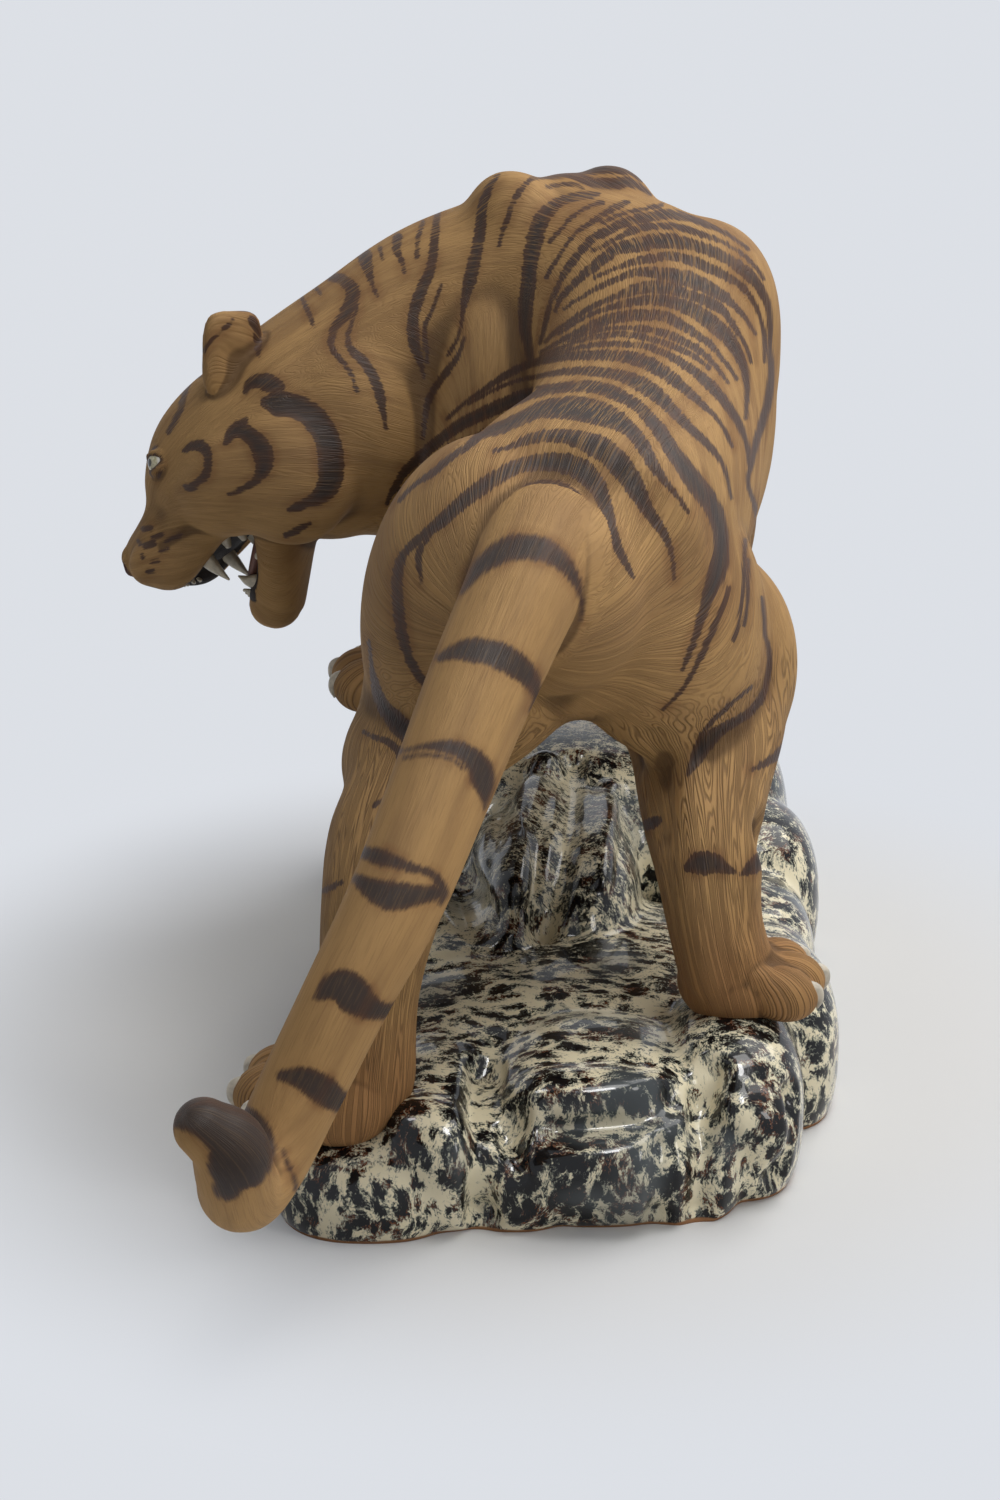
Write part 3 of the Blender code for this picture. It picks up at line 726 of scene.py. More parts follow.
# Painted stripes, as strokes over the photograph's frame: x, y and the full width of the brush.
trunkStrokes = [
    [(602, 203, 2), (590, 206, 3), (580, 211, 3), (570, 219, 3), (562, 228, 3), (555, 236, 3),
     (550, 242, 1.5)],
    [(628, 202, 4), (618, 206, 7), (607, 212, 6), (597, 219, 6), (586, 226, 5), (577, 232, 4), (570, 240, 3),
     (563, 249, 3), (558, 258, 3), (552, 267, 2.5), (546, 278, 2)],
    [(662, 205, 3), (645, 209, 3), (628, 212, 3), (614, 217, 2.5), (602, 223, 2)],
    [(748, 249, 2), (738, 241, 2.5), (727, 234, 3), (716, 229, 4), (706, 225, 6), (695, 220, 6),
     (682, 216, 8), (668, 214, 10), (655, 216, 10), (640, 218, 10), (630, 221, 9), (620, 224, 9),
     (610, 230, 8), (600, 234, 8), (590, 241, 8), (580, 252, 8), (570, 265, 8), (562, 277, 6),
     (558, 286, 5), (554, 295, 5), (550, 305, 5), (546, 320, 6), (543, 333, 5), (540, 343, 4)],
    [(593, 250, 2), (604, 246, 3), (614, 240, 4), (624, 235, 6), (634, 230, 8), (646, 227, 7), (660, 226, 6),
     (674, 226, 6), (686, 229, 6), (698, 233, 6), (710, 237, 5), (721, 241, 4), (731, 247, 3.5),
     (741, 253, 3), (750, 261, 2.5), (758, 270, 2.5), (763, 279, 2)],
    [(555, 311, 1.5), (558, 303, 4), (563, 295, 6), (570, 288, 7), (577, 281, 7), (586, 273, 9),
     (596, 265, 10), (606, 257, 11), (617, 249, 12), (629, 246, 14), (642, 244, 15), (656, 241, 15),
     (670, 241, 14), (683, 243, 13), (696, 246, 11), (708, 250, 11), (720, 255, 11), (732, 262, 11),
     (743, 270, 12), (752, 278, 11), (760, 288, 9), (766, 300, 8), (769, 312, 6), (770, 330, 5),
     (770, 348, 5), (771, 368, 7), (770, 385, 8), (768, 402, 8), (763, 420, 8), (757, 440, 7),
     (752, 460, 6), (748, 482, 4), (753, 500, 5), (757, 518, 4), (757, 535, 2)],
    [(595, 277, 2), (607, 272, 3), (619, 267, 5), (630, 263, 6), (641, 260, 8), (655, 258, 8), (669, 256, 9),
     (682, 258, 9), (694, 261, 10), (706, 267, 10), (718, 272, 10), (729, 278, 8), (739, 284, 7),
     (746, 291, 6), (752, 299, 5), (757, 309, 4), (761, 321, 3), (764, 335, 3), (765, 350, 2.5),
     (765, 362, 1.5)],
    [(564, 309, 1.5), (572, 303, 3), (582, 297, 3.5), (592, 291, 5), (602, 286, 6), (612, 281, 6),
     (622, 277, 6), (632, 273, 7), (644, 272, 9), (658, 273, 12), (670, 275, 14), (684, 278, 16),
     (696, 282, 15), (708, 287, 14), (718, 293, 11), (727, 299, 9), (735, 307, 6), (743, 315, 5),
     (749, 323, 3.5), (755, 334, 1.5)],
    [(545, 342, 3), (552, 335, 5), (562, 327, 5), (572, 320, 5), (582, 313, 6), (592, 307, 5.5),
     (602, 302, 5.5), (612, 298, 6), (622, 294, 8), (634, 290, 11), (648, 287, 13), (662, 287, 13),
     (676, 290, 12), (690, 295, 9), (702, 299, 10), (712, 304, 10), (721, 309, 9), (728, 317, 7),
     (734, 326, 6), (740, 336, 4.5), (746, 347, 3), (751, 362, 2)],
    [(558, 334, 1.5), (570, 326, 2.5), (582, 319, 3), (594, 313, 4), (606, 309, 5), (618, 305, 7),
     (632, 302, 8), (646, 300, 10), (660, 300, 11), (672, 302, 12), (684, 306, 13), (696, 312, 14),
     (708, 320, 15), (718, 328, 16), (727, 337, 14), (735, 348, 12), (741, 360, 10), (745, 372, 8),
     (747, 386, 6), (747, 402, 4.5), (746, 418, 2)],
    [(541, 352, 2), (552, 346, 3), (562, 340, 5), (572, 335, 6), (582, 330, 8), (594, 325, 9), (606, 320, 10),
     (620, 317, 11), (636, 315, 11), (650, 315, 11), (664, 316, 10), (676, 322, 10), (688, 329, 9),
     (700, 337, 7), (710, 344, 7), (717, 352, 5), (724, 361, 4.5), (731, 370, 4), (737, 379, 2)],
    [(568, 341, 1.5), (582, 336, 2.5), (596, 331, 3), (612, 328, 3.5), (630, 328, 4), (646, 329, 6),
     (660, 332, 7), (673, 336, 8), (685, 342, 8), (697, 349, 7), (706, 356, 6), (714, 364, 5),
     (721, 373, 4), (728, 383, 2)],
    [(541, 357, 2), (552, 351, 2.5), (564, 347, 3), (576, 342, 4), (590, 338, 5), (604, 336, 6),
     (620, 334, 6), (636, 336, 6), (650, 339, 6), (664, 343, 6), (677, 348, 6), (690, 354, 6),
     (701, 361, 4), (710, 369, 2)],
    [(540, 360, 2), (552, 355, 3), (566, 350, 4), (582, 347, 5), (600, 344, 6), (620, 344, 6), (638, 345, 6),
     (652, 348, 7), (664, 353, 7), (676, 359, 8), (688, 367, 9), (700, 376, 10), (711, 386, 11),
     (721, 397, 10), (730, 409, 9), (738, 422, 8), (744, 436, 6), (748, 450, 5), (749, 465, 4)],
    [(447, 419, 1.5), (460, 407, 3), (470, 399, 4), (482, 391, 5), (500, 379, 7), (520, 368, 8),
     (540, 361, 8), (560, 357, 9), (580, 355, 9), (600, 355, 10), (620, 356, 11), (636, 359, 13),
     (650, 364, 14), (662, 371, 13), (673, 379, 12), (684, 388, 10), (694, 397, 8), (704, 406, 6),
     (714, 415, 4), (724, 429, 3), (732, 446, 1.5)],
    [(468, 404, 1.5), (482, 396, 2.5), (500, 387, 3.5), (520, 380, 4), (540, 376, 5), (560, 372, 6),
     (580, 371, 8), (600, 372, 10), (618, 375, 11), (632, 380, 14), (644, 386, 16), (656, 394, 15),
     (667, 404, 13), (678, 416, 11), (689, 427, 9), (700, 437, 8), (711, 448, 7), (720, 460, 5),
     (726, 474, 4), (731, 498, 2)],
    [(388, 503, 6), (394, 491, 8), (404, 474, 10), (416, 461, 10), (428, 450, 11), (440, 440, 11),
     (460, 425, 12), (480, 415, 13), (500, 406, 14), (520, 397, 13), (540, 391, 11), (560, 388, 10),
     (580, 386, 11), (600, 388, 13), (614, 393, 14), (628, 400, 12), (640, 408, 12), (652, 421, 13),
     (662, 434, 14), (672, 450, 15), (684, 467, 17), (696, 484, 19), (707, 498, 19), (716, 514, 17),
     (721, 532, 16), (721, 552, 17), (717, 572, 18), (710, 592, 15), (704, 610, 10), (697, 632, 8),
     (689, 654, 6), (682, 671, 3)],
    [(729, 588, 3), (724, 604, 5), (717, 620, 6), (710, 636, 7), (702, 654, 6), (694, 670, 5), (684, 687, 4),
     (673, 700, 3), (662, 710, 1.5)],
    [(399, 501, 1.5), (410, 489, 3), (420, 481, 5), (431, 474, 7), (442, 465, 7), (454, 455, 7),
     (466, 447, 7), (480, 436, 9), (496, 429, 12), (512, 423, 13), (528, 415, 14), (545, 409, 18),
     (562, 408, 22), (580, 409, 25), (598, 413, 25), (612, 418, 22), (624, 425, 17), (634, 434, 14),
     (643, 446, 13), (650, 459, 12), (658, 472, 10), (668, 485, 7), (678, 497, 5), (688, 512, 1.5)],
    [(494, 451, 1.5), (506, 448, 3), (518, 444, 7), (530, 439, 11), (545, 436, 12), (562, 436, 13),
     (578, 439, 18), (592, 444, 22), (604, 450, 24), (614, 459, 24), (624, 470, 23), (632, 482, 21),
     (640, 496, 17), (647, 509, 13), (656, 522, 11), (664, 534, 8), (670, 548, 6), (673, 563, 4),
     (674, 580, 1.5)],
    [(432, 690, 5), (420, 677, 9), (410, 660, 9), (404, 642, 10), (400, 622, 11), (398, 602, 11),
     (397, 582, 11), (399, 566, 10), (406, 551, 8), (418, 540, 8), (430, 530, 10), (444, 519, 13),
     (460, 504, 14), (478, 490, 15), (496, 478, 15), (514, 468, 15), (532, 463, 16), (550, 462, 18),
     (568, 464, 20), (583, 471, 22), (594, 482, 20), (602, 497, 16), (608, 514, 12), (613, 532, 10),
     (618, 548, 9), (625, 562, 7), (633, 577, 2)],
    [(430, 536, 3), (421, 548, 5), (418, 560, 6), (420, 573, 5), (422, 582, 2)],
    [(476, 524, 1.5), (486, 516, 5), (496, 508, 9), (508, 501, 12), (522, 495, 16), (538, 491, 20),
     (552, 491, 22), (566, 496, 22), (577, 506, 20), (586, 519, 17), (594, 532, 13), (601, 546, 9),
     (605, 560, 4), (606, 576, 1.5)],
    # thighs and hind legs
    [(745, 540, 1.5), (744, 575, 3), (742, 600, 3), (738, 625, 3), (733, 640, 2)],
    [(748, 560, 1.5), (748, 590, 3), (746, 610, 3), (744, 625, 1.5)],
    [(762, 598, 1), (764, 618, 2), (765, 634, 3), (769, 650, 5), (769, 668, 5), (766, 685, 5), (761, 699, 7),
     (750, 712, 8), (738, 720, 9), (726, 727, 11), (714, 735, 15), (705, 744, 18), (698, 755, 15),
     (692, 766, 10), (688, 775, 3)],
    [(751, 687, 1.5), (742, 695, 3), (732, 703, 4), (722, 712, 5), (712, 722, 5), (702, 734, 4)],
    [(796, 720, 5), (792, 735, 8), (784, 748, 9), (774, 758, 8), (762, 765, 6), (752, 770, 2)],
    [(687, 868, 8), (694, 865, 20), (704, 863, 24), (716, 864, 20), (726, 869, 10), (735, 872, 3)],
    [(742, 874, 4), (749, 870, 12), (756, 864, 16), (762, 858, 14)],
    [(642, 826, 8), (650, 824, 12), (658, 820, 8)],
    [(369, 640, 2), (371, 660, 3), (374, 680, 7), (380, 700, 12), (390, 714, 16), (400, 726, 20),
     (412, 735, 22), (424, 742, 16)],
    [(364, 732, 2), (374, 737, 5), (386, 741, 6), (396, 748, 8), (402, 757, 10), (408, 764, 8)],
    [(374, 806, 2), (382, 801, 4), (392, 796, 3), (402, 790, 2)],
    [(316, 893, 4), (330, 888, 5), (342, 882, 4)],
]
tailStrokes = [
    [(462, 592, 4), (472, 577, 12), (482, 565, 18), (496, 555, 22), (512, 548, 26), (528, 547, 26),
     (544, 550, 24), (557, 557, 20), (567, 567, 16), (575, 579, 12), (580, 592, 6), (582, 606, 4),
     (581, 620, 3)],
    [(440, 658, 8), (455, 652, 16), (470, 650, 24), (486, 652, 26), (502, 657, 28), (516, 665, 26),
     (527, 675, 22), (534, 686, 16), (536, 698, 8), (531, 710, 3)],
    [(396, 752, 2), (416, 748, 4), (432, 746, 9), (448, 747, 14), (462, 751, 18), (474, 760, 22),
     (481, 772, 26), (484, 785, 22), (485, 797, 11), (484, 807, 2)],
    [(404, 758, 2), (420, 755, 2), (440, 756, 2), (455, 761, 3), (463, 768, 3)],
    [(362, 852, 12), (380, 857, 18), (396, 862, 14), (412, 868, 9), (428, 872, 8), (438, 880, 10),
     (443, 892, 12), (440, 903, 6)],
    [(358, 880, 12), (374, 890, 24), (390, 896, 30), (405, 896, 26), (420, 895, 20), (436, 893, 16),
     (446, 893, 6)],
    [(430, 950, 6), (437, 944, 12), (442, 935, 16), (448, 925, 16)],
    [(318, 998, 8), (330, 989, 26), (342, 988, 38), (354, 996, 38), (366, 1005, 30), (378, 1010, 20),
     (390, 1010, 14), (399, 1004, 6)],
    [(282, 1076, 12), (298, 1077, 22), (312, 1083, 28), (326, 1092, 30), (338, 1101, 24), (349, 1108, 12),
     (354, 1109, 4)],
    [(172, 1110, 34), (184, 1111, 38), (200, 1115, 42), (222, 1125, 56), (240, 1140, 66), (240, 1158, 66),
     (232, 1175, 54), (228, 1186, 30)],
    [(283, 1150, 2), (288, 1165, 4), (294, 1178, 5), (296, 1190, 2)],
]
foreStrokes = [
    [(498, 176, 3), (490, 186, 7), (484, 200, 9), (481, 220, 10), (479, 240, 11), (474, 262, 12),
     (470, 280, 13), (466, 295, 9), (463, 310, 5), (461, 325, 3), (457, 340, 3), (448, 355, 2)],
    [(464, 338, 3), (458, 356, 5), (447, 371, 7), (435, 388, 7), (428, 402, 7), (425, 418, 5), (423, 438, 4)],
    [(564, 174, 3), (580, 171, 8), (600, 168, 11), (615, 169, 9), (630, 173, 5), (642, 180, 2)],
    [(575, 179, 3), (590, 182, 8), (610, 184, 11), (628, 182, 10), (638, 186, 6), (650, 194, 3)],
    [(592, 179, 4), (575, 176, 6), (555, 175, 7), (540, 176, 6), (530, 180, 5), (522, 188, 5), (516, 197, 5),
     (511, 207, 5), (508, 218, 4), (503, 230, 3), (499, 245, 2)],
    [(547, 187, 2), (560, 185, 2), (575, 184, 2), (583, 188, 1.5)],
    [(598, 194, 4), (587, 195, 8), (575, 197, 9), (562, 201, 10), (552, 207, 12), (544, 216, 15),
     (537, 230, 16), (533, 248, 16), (530, 265, 15), (528, 285, 15), (526, 300, 15), (525, 315, 14),
     (525, 330, 12), (528, 345, 10), (530, 360, 8)],
    [(438, 212, 5), (436, 225, 7), (434, 245, 8), (432, 262, 9), (427, 278, 10), (421, 292, 12),
     (416, 305, 12), (413, 318, 11), (413, 330, 12), (414, 343, 11), (418, 355, 8), (422, 368, 5),
     (424, 377, 2)],
    [(441, 285, 2), (436, 300, 3), (430, 315, 4), (425, 325, 4), (425, 340, 5), (427, 352, 4), (427, 362, 2)],
    [(423, 222, 3), (418, 238, 4), (417, 250, 3), (417, 257, 1.5)],
    [(398, 238, 10), (396, 248, 8), (399, 255, 6), (403, 265, 4), (404, 272, 2)],
    [(365, 256, 14), (367, 266, 12), (370, 276, 7), (373, 287, 3), (377, 295, 1.5)],
    [(380, 248, 4), (382, 258, 2)],
    [(327, 276, 7), (340, 279, 10), (349, 285, 13), (353, 294, 14), (350, 305, 14), (345, 315, 12),
     (338, 323, 10), (333, 332, 8), (331, 342, 7), (334, 352, 6), (342, 361, 5), (350, 372, 4),
     (354, 382, 3), (357, 392, 2)],
    [(357, 308, 2), (352, 322, 4), (348, 335, 5), (349, 346, 7), (356, 354, 9), (364, 362, 10),
     (372, 374, 10), (378, 388, 10), (381, 400, 9), (383, 412, 6), (386, 428, 3)],
    [(301, 296, 4), (305, 305, 5), (310, 316, 5), (313, 325, 2)],
    [(316, 288, 4), (320, 293, 2)],
]
headStrokes = [
    [(245, 392, 5), (250, 384, 10), (260, 381, 16), (271, 384, 18), (279, 386, 12)],
    [(266, 402, 12), (276, 403, 26), (290, 405, 24), (304, 410, 24), (316, 420, 25), (325, 434, 25),
     (330, 450, 26), (331, 466, 26), (330, 481, 24), (321, 495, 18), (308, 502, 10), (297, 507, 9),
     (289, 510, 4)],
    [(226, 443, 6), (232, 433, 12), (241, 430, 16), (252, 437, 16), (260, 446, 20), (264, 458, 20),
     (263, 470, 15), (256, 480, 9), (246, 487, 6), (236, 492, 5), (229, 494, 2)],
    [(238, 424, 8), (247, 419, 4)],
    [(184, 451, 4), (192, 446, 9), (201, 446, 12), (207, 453, 9), (208, 464, 8), (206, 474, 9), (198, 482, 8),
     (190, 488, 7), (185, 487, 4)],
    [(190, 380, 3), (184, 397, 6), (180, 410, 6), (174, 422, 5), (168, 432, 3)],
    [(252, 320, 8), (257, 332, 7), (258, 345, 7), (258, 355, 4)],
    [(232, 321, 4), (222, 331, 4), (210, 341, 4), (203, 352, 3)],
    [(240, 309, 3), (250, 310, 3), (256, 318, 3)],
    [(143, 529, 5), (150, 528, 6)],
    [(153, 538, 5), (161, 535, 5)],
    [(145, 546, 6), (153, 544, 7)],
    [(166, 541, 4), (180, 535, 5)],
    [(138, 541, 3), (140, 544, 3)],
    [(142, 555, 4), (143, 558, 3)],
    [(160, 551, 4), (168, 549, 4)],
    [(152, 562, 3), (158, 561, 3)],
    [(148, 572, 5), (153, 571, 4)],
    [(286, 535, 5), (298, 530, 7), (310, 523, 3)],
]


thinnestBrush = 3.8  # pixels


def inkFromStrokes(pixels, strokes, reach=14.0):
    # signed distance in pixels to the nearest stroke's edge, negative where the paint is
    ink = np.full(len(pixels), reach)
    for stroke in strokes:
        rows = smoothPath(stroke, 3)
        rows[:, 2] = np.maximum(rows[:, 2], thinnestBrush)
        margin = reach + max(r[2] for r in stroke) / 2
        low, high = rows[:, :2].min(0) - margin, rows[:, :2].max(0) + margin
        near = np.where(np.all((pixels > low) & (pixels < high), axis=1))[0]
        if len(near) == 0:
            continue
        away, values = nearestOnPath(pixels[near], rows)
        ink[near] = np.minimum(ink[near], away - values[:, 2] / 2)
    return ink


def centreLine(rows):
    return [row[:3] for row in rows]


headLine = [tuple(headFrame() @ Vector(point)) for point in ((0, 0, 2), (0, 68, -10))]
# Lines through the middle of the body, along which the coat lies, each with the radius its hair is laid at.
coatLines = {
    "spine": (45.0, centreLine(trunkStations()[1:]) + [(-122, 136, 206)] + headLine),
    "tail": (16.0, centreLine(tailStations)),
    "rightHind": (22.0, [(44, -50, 200)] + centreLine(rightHindLeg[1:])),
    "leftHind": (22.0, [(-34, -60, 200)] + centreLine(leftHindLeg[1:])),
    "leftFore": (20.0, centreLine(leftForeLeg)),
    "rightFore": (20.0, centreLine(rightForeLeg)),
}


def straighten(points, stations, spacing=4.0, blend=12.0):
    # for each point: how far along the line it lies, the turn around it, and its distance from it
    dense = smoothPath(stations, 8)
    lengths = np.concatenate([[0], np.cumsum(np.linalg.norm(np.diff(dense, axis=0), axis=1))])
    marks = np.arange(0, lengths[-1], spacing)
    line = np.stack([np.interp(marks, lengths, dense[:, k]) for k in range(3)], axis=1)
    tangent = np.gradient(line, axis=0)
    tangent /= np.linalg.norm(tangent, axis=1)[:, None]
    top = np.array([0.0, 0.0, 1.0]) if abs(tangent[0][2]) < 0.8 else np.array([0.0, -1.0, 0.0])
    tops = []
    for t in tangent:
        top = top - t * (top @ t)
        top /= np.linalg.norm(top)
        tops.append(top)
    tops = np.array(tops)
    sides = np.cross(tangent, tops)
    along = np.empty(len(points))
    angle = np.empty(len(points))
    away = np.empty(len(points))
    for start in range(0, len(points), 20000):
        part = points[start : start + 20000]
        squares = ((part[:, None, :] - line[None]) ** 2).sum(2)
        nearest = squares.min(1)
        weight = np.exp(-(squares - nearest[:, None]) / (blend * (np.sqrt(nearest)[:, None] + 8)))
        weight /= weight.sum(1)[:, None]
        centre, upward, sideways = weight @ line, weight @ tops, weight @ sides
        out = part - centre
        along[start : start + 20000] = weight @ marks
        angle[start : start + 20000] = np.arctan2((out * sideways).sum(1), (out * upward).sum(1))
        away[start : start + 20000] = np.sqrt(nearest)
    return along, angle, away


def smoothStep(low, high, value):
    t = np.clip((value - low) / (high - low), 0, 1)
    return t * t * (3 - 2 * t)


def setAttribute(mesh, name, values):
    kind = "FLOAT" if values.ndim == 1 else "FLOAT_VECTOR"
    layer = mesh.attributes.new(name, kind, "POINT")
    layer.data.foreach_set("value" if values.ndim == 1 else "vector", values.astype(np.float32).ravel())


def aroundLine(radius, angle, along):
    return np.stack([radius * np.cos(angle), radius * np.sin(angle), along], axis=1)


def layCoat(points):
    # where the hair lies: along and around the spine, and along and around the nearest limb
    count = len(points)
    radius, stations = coatLines["spine"]
    along, angle, _ = straighten(points, stations)
    down, slant = np.abs(angle) * radius, radians(38)
    sloped = [down * cos(slant) + along * sin(slant), np.zeros(count), along * cos(slant) - down * sin(slant)]
    coat = {
        "along": along,
        "angle": angle,
        "ridgeLie": aroundLine(radius, angle, along),
        "flankLie": np.stack(sloped, axis=1),
        "limbLie": np.zeros((count, 3)),
        "limbAlong": np.zeros(count),
        "limbAngle": np.zeros(count),
        "limbWeight": np.zeros(count),
        "limbNumber": np.zeros(count, int),
    }
    nearest = np.full(count, 1e9)
    for number, (name, (radius, stations)) in enumerate(coatLines.items()):
        if name == "spine":
            continue
        t, turn, gap = straighten(points, stations)
        if name == "tail":
            weight = (1 - smoothStep(22, 30, gap)) * smoothStep(4, 34, t)
            coat["tailWeight"] = weight
            gap = np.where(weight > 0.02, 0, 1e6)
        else:
            top, bottom = (206, 150) if "Hind" in name else (212, 165)
            weight = (1 - smoothStep(bottom, top, points[:, 2])) * (1 - smoothStep(48, 66, gap))
        closer = gap < nearest
        nearest[closer] = gap[closer]
        found = {
            "limbLie": aroundLine(radius, turn, t),
            "limbAlong": t,
            "limbAngle": turn,
            "limbWeight": weight,
            "limbNumber": np.full(count, number),
        }
        for key, value in found.items():
            coat[key][closer] = value[closer]
    coat["flankWeight"] = smoothStep(0.35, 1.0, np.abs(angle))
    coat["ridgeWeight"] = np.exp(-((angle / 0.42) ** 2)) * (1 - coat["tailWeight"])
    return coat


stripeForm = {
    "bare": 6.0,  # millimetres from the paint where no stripe is near
    "grazing": 0.03,  # how far a surface has to face the photograph to be painted from it
    "taper": 0.06,  # how fast a stripe narrows once it is past the photograph's horizon
    "flankSpacing": 21.0,
    "flankWidth": 5.5,
    "legSpacing": 25.0,
    "legWidth": 5.0,
}


def runOn(ink, members, seen, facing, along, angle, radius):
    # past the photograph's horizon each painted stripe runs on round the body and tapers
    step = 2.0
    bins = np.clip((along / step).astype(int), 0, None)
    count = bins.max() + 1
    marks = np.arange(count)
    beyond = np.zeros(len(ink))
    for side in (-1, 1):
        mine = members & (angle * side > 0)
        rim = mine & seen & (facing < 0.16)
        total = np.bincount(bins[rim], minlength=count)
        filled = total > 0
        if filled.sum() < 3:
            continue
        rimValues = (ink[rim], np.abs(angle[rim]))
        means = [np.bincount(bins[rim], value, count)[filled] / total[filled] for value in rimValues]
        rimInk, rimAngle = (np.interp(marks, marks[filled], mean) for mean in means)
        hidden = mine & ~seen
        past = np.maximum(np.abs(angle[hidden]) - rimAngle[bins[hidden]], 0) * radius
        beyond[hidden] = past
        wander = 3 * np.sin(past * 0.08) + 0.12 * past
        value = np.interp((along[hidden] + wander) / step, marks, rimInk) + past * stripeForm["taper"]
        ink[hidden] = np.minimum(ink[hidden], value)
    return beyond


def freeStripes(along, angle, spacing, width, low, high):
    # stripes round the sides that no photograph shows: where they start and stop varies from one to the next
    turned = np.abs(angle)
    wander = along + 6 * np.sin(turned * 2.6 + along * 0.021) + 4 * np.sin(along * 0.05)
    index = np.floor(wander / spacing)
    off = np.abs(wander - (index + 0.5) * spacing)
    first = low + 0.22 * np.sin(index * 1.7)
    final = high + 0.35 * np.sin(index * 2.4 + 1)
    share = np.clip((turned - first) / (final - first), 0, 1)
    brush = (width + 2.2 * np.sin(index * 3.1)) * np.sqrt(np.sin(pi * share).clip(0))
    return np.where((share > 0) & (share < 1), off - brush / 2, stripeForm["bare"])


def seenFromPhoto(points, normals, tree):
    # which points the photograph shows, when the tail is not in the way
    toEye = np.array(eyePoint) - points
    toEye /= np.linalg.norm(toEye, axis=1)[:, None]
    facing = (normals * toEye).sum(1)
    seen = facing > stripeForm["grazing"]
    for i in np.where(seen)[0]:
        start = Vector(points[i] + normals[i] * 0.8 + toEye[i] * 1.5)
        if tree.ray_cast(start, Vector(toEye[i]))[0] is not None:
            seen[i] = False
    return seen, facing


def paintStripes(points, normals, faces, coat):
    form = stripeForm
    onTail = coat["tailWeight"] > 0.3
    keep = ~onTail[faces].any(axis=1)
    seen, facing = seenFromPhoto(points, normals, surfaceTree(points, faces[keep].tolist()))
    seen = np.where(onTail, facing > form["grazing"], seen)
    pixels = toPixels(points)
    perPixel = photoView["distance"] / photoView["focalPixels"]
    ink = np.full(len(points), form["bare"])
    for part, strokes in ((seen & ~onTail, trunkStrokes + foreStrokes), (seen & onTail, tailStrokes)):
        ink[part] = inkFromStrokes(pixels[part], strokes) * perPixel
    local = inFrame(points, headFrame())
    onHead = np.linalg.norm(local, axis=1) < 70

    onLimb = coat["limbWeight"] > 0.5
    onTrunk = ~onLimb & ~onHead
    along, angle = coat["along"], coat["angle"]
    beyond = runOn(ink, onTrunk, seen, facing, along, angle, coatLines["spine"][0])
    free = freeStripes(along, angle, form["flankSpacing"], form["flankWidth"], 0.95, 2.15)
    shy = 3.0 * (1 - smoothStep(8, 24, beyond))
    hidden = onTrunk & ~seen
    ink[hidden] = np.minimum(ink[hidden], (free + shy)[hidden])
    along, angle = coat["limbAlong"], coat["limbAngle"]
    for number, (name, (radius, _)) in enumerate(coatLines.items()):
        if name == "spine":
            continue
        members = onLimb & (coat["limbNumber"] == number)
        beyond = runOn(ink, members, seen, facing, along, angle, radius)
        if name != "tail":
            free = freeStripes(along, angle, form["legSpacing"], form["legWidth"], 1.3, 2.7)
            shy = 3.0 * (1 - smoothStep(1, 8, beyond)) + 4.0 * smoothStep(85, 125, along)
            hidden = members & ~seen
            ink[hidden] = np.minimum(ink[hidden], (free + shy)[hidden])

    # the far cheek is painted as the near one
    near = (np.linalg.norm(local, axis=1) < 92) & (local[:, 1] > -76) & ~onTail
    mirrored = local[near].copy()
    mirrored[:, 0] = -np.abs(mirrored[:, 0])
    world = inFrame(mirrored, headFrame().inverted())
    fade = smoothStep(-76, -66, local[near, 1])
    face = inkFromStrokes(toPixels(world), headStrokes) * perPixel
    ink[near] = np.minimum(ink[near], face + (1 - fade) * 4)
    brow = near & (local[:, 2] > 24)
    flatPlan = np.stack([-np.abs(local[brow, 0]), local[brow, 1]], axis=1) / perPixel
    bars = [[tuple(value / perPixel for value in row) for row in bar] for bar in browBars]
    ink[brow] = np.minimum(ink[brow], inkFromStrokes(flatPlan, bars) * perPixel)
    return ink, local


# Bars over the brow, in millimetres from the middle of the head: across, ahead and the brush's width.
browBars = [
    [(-15, -17, 1.2), (-9, -13, 3.2), (0, -15, 2.6)],
    [(-17, -6, 1.2), (-10, -2, 3.2), (0, -4, 3.0)],
    [(-13, 5, 1.2), (-7, 8, 3.0), (0, 6, 2.6)],
    [(-9, 14, 1.0), (-4, 17, 2.4), (0, 16, 2.2)],
]


def inFrame(points, place):
    return (np.c_[points, np.ones(len(points))] @ np.array(place.inverted()).T)[:, :3]


# Hollows and swellings of the hind legs, as lines over the photograph's frame with a width and a depth.
muscleCreases = [
    ([(650, 735), (666, 785), (662, 835), (654, 875), (664, 925)], 9, 1.5),
    ([(688, 770), (692, 820), (688, 875), (700, 940), (706, 985)], 10, -2.4),
    ([(745, 805), (738, 840), (736, 880), (744, 930)], 9, 1.0),
]


def throughPhoto(tree, lines):
    # lines over the photograph's frame laid on what it shows
    laid = []
    for path, width, depth in lines:
        hits = [tree.ray_cast(eyePoint, pixelRay(x, y))[0] for x, y in path]
        hits = [tuple(hit) for hit in hits if hit is not None]
        if len(hits) > 1:
            laid.append((hits, width, depth))
    return laid


# Between the legs, the web at the right thigh and the narrow place above the right hock.
bodyDents = [
    ((-8, -66, 148), 34, 10),
    ((-24, -78, 149), 24, 8),
    ((-12, -86, 148), 20, 8),
    ((19, -72, 151), 20, 9),
    ((24, -67, 156), 15, 6),
    ((73, -95, 121), 13, 6),
]


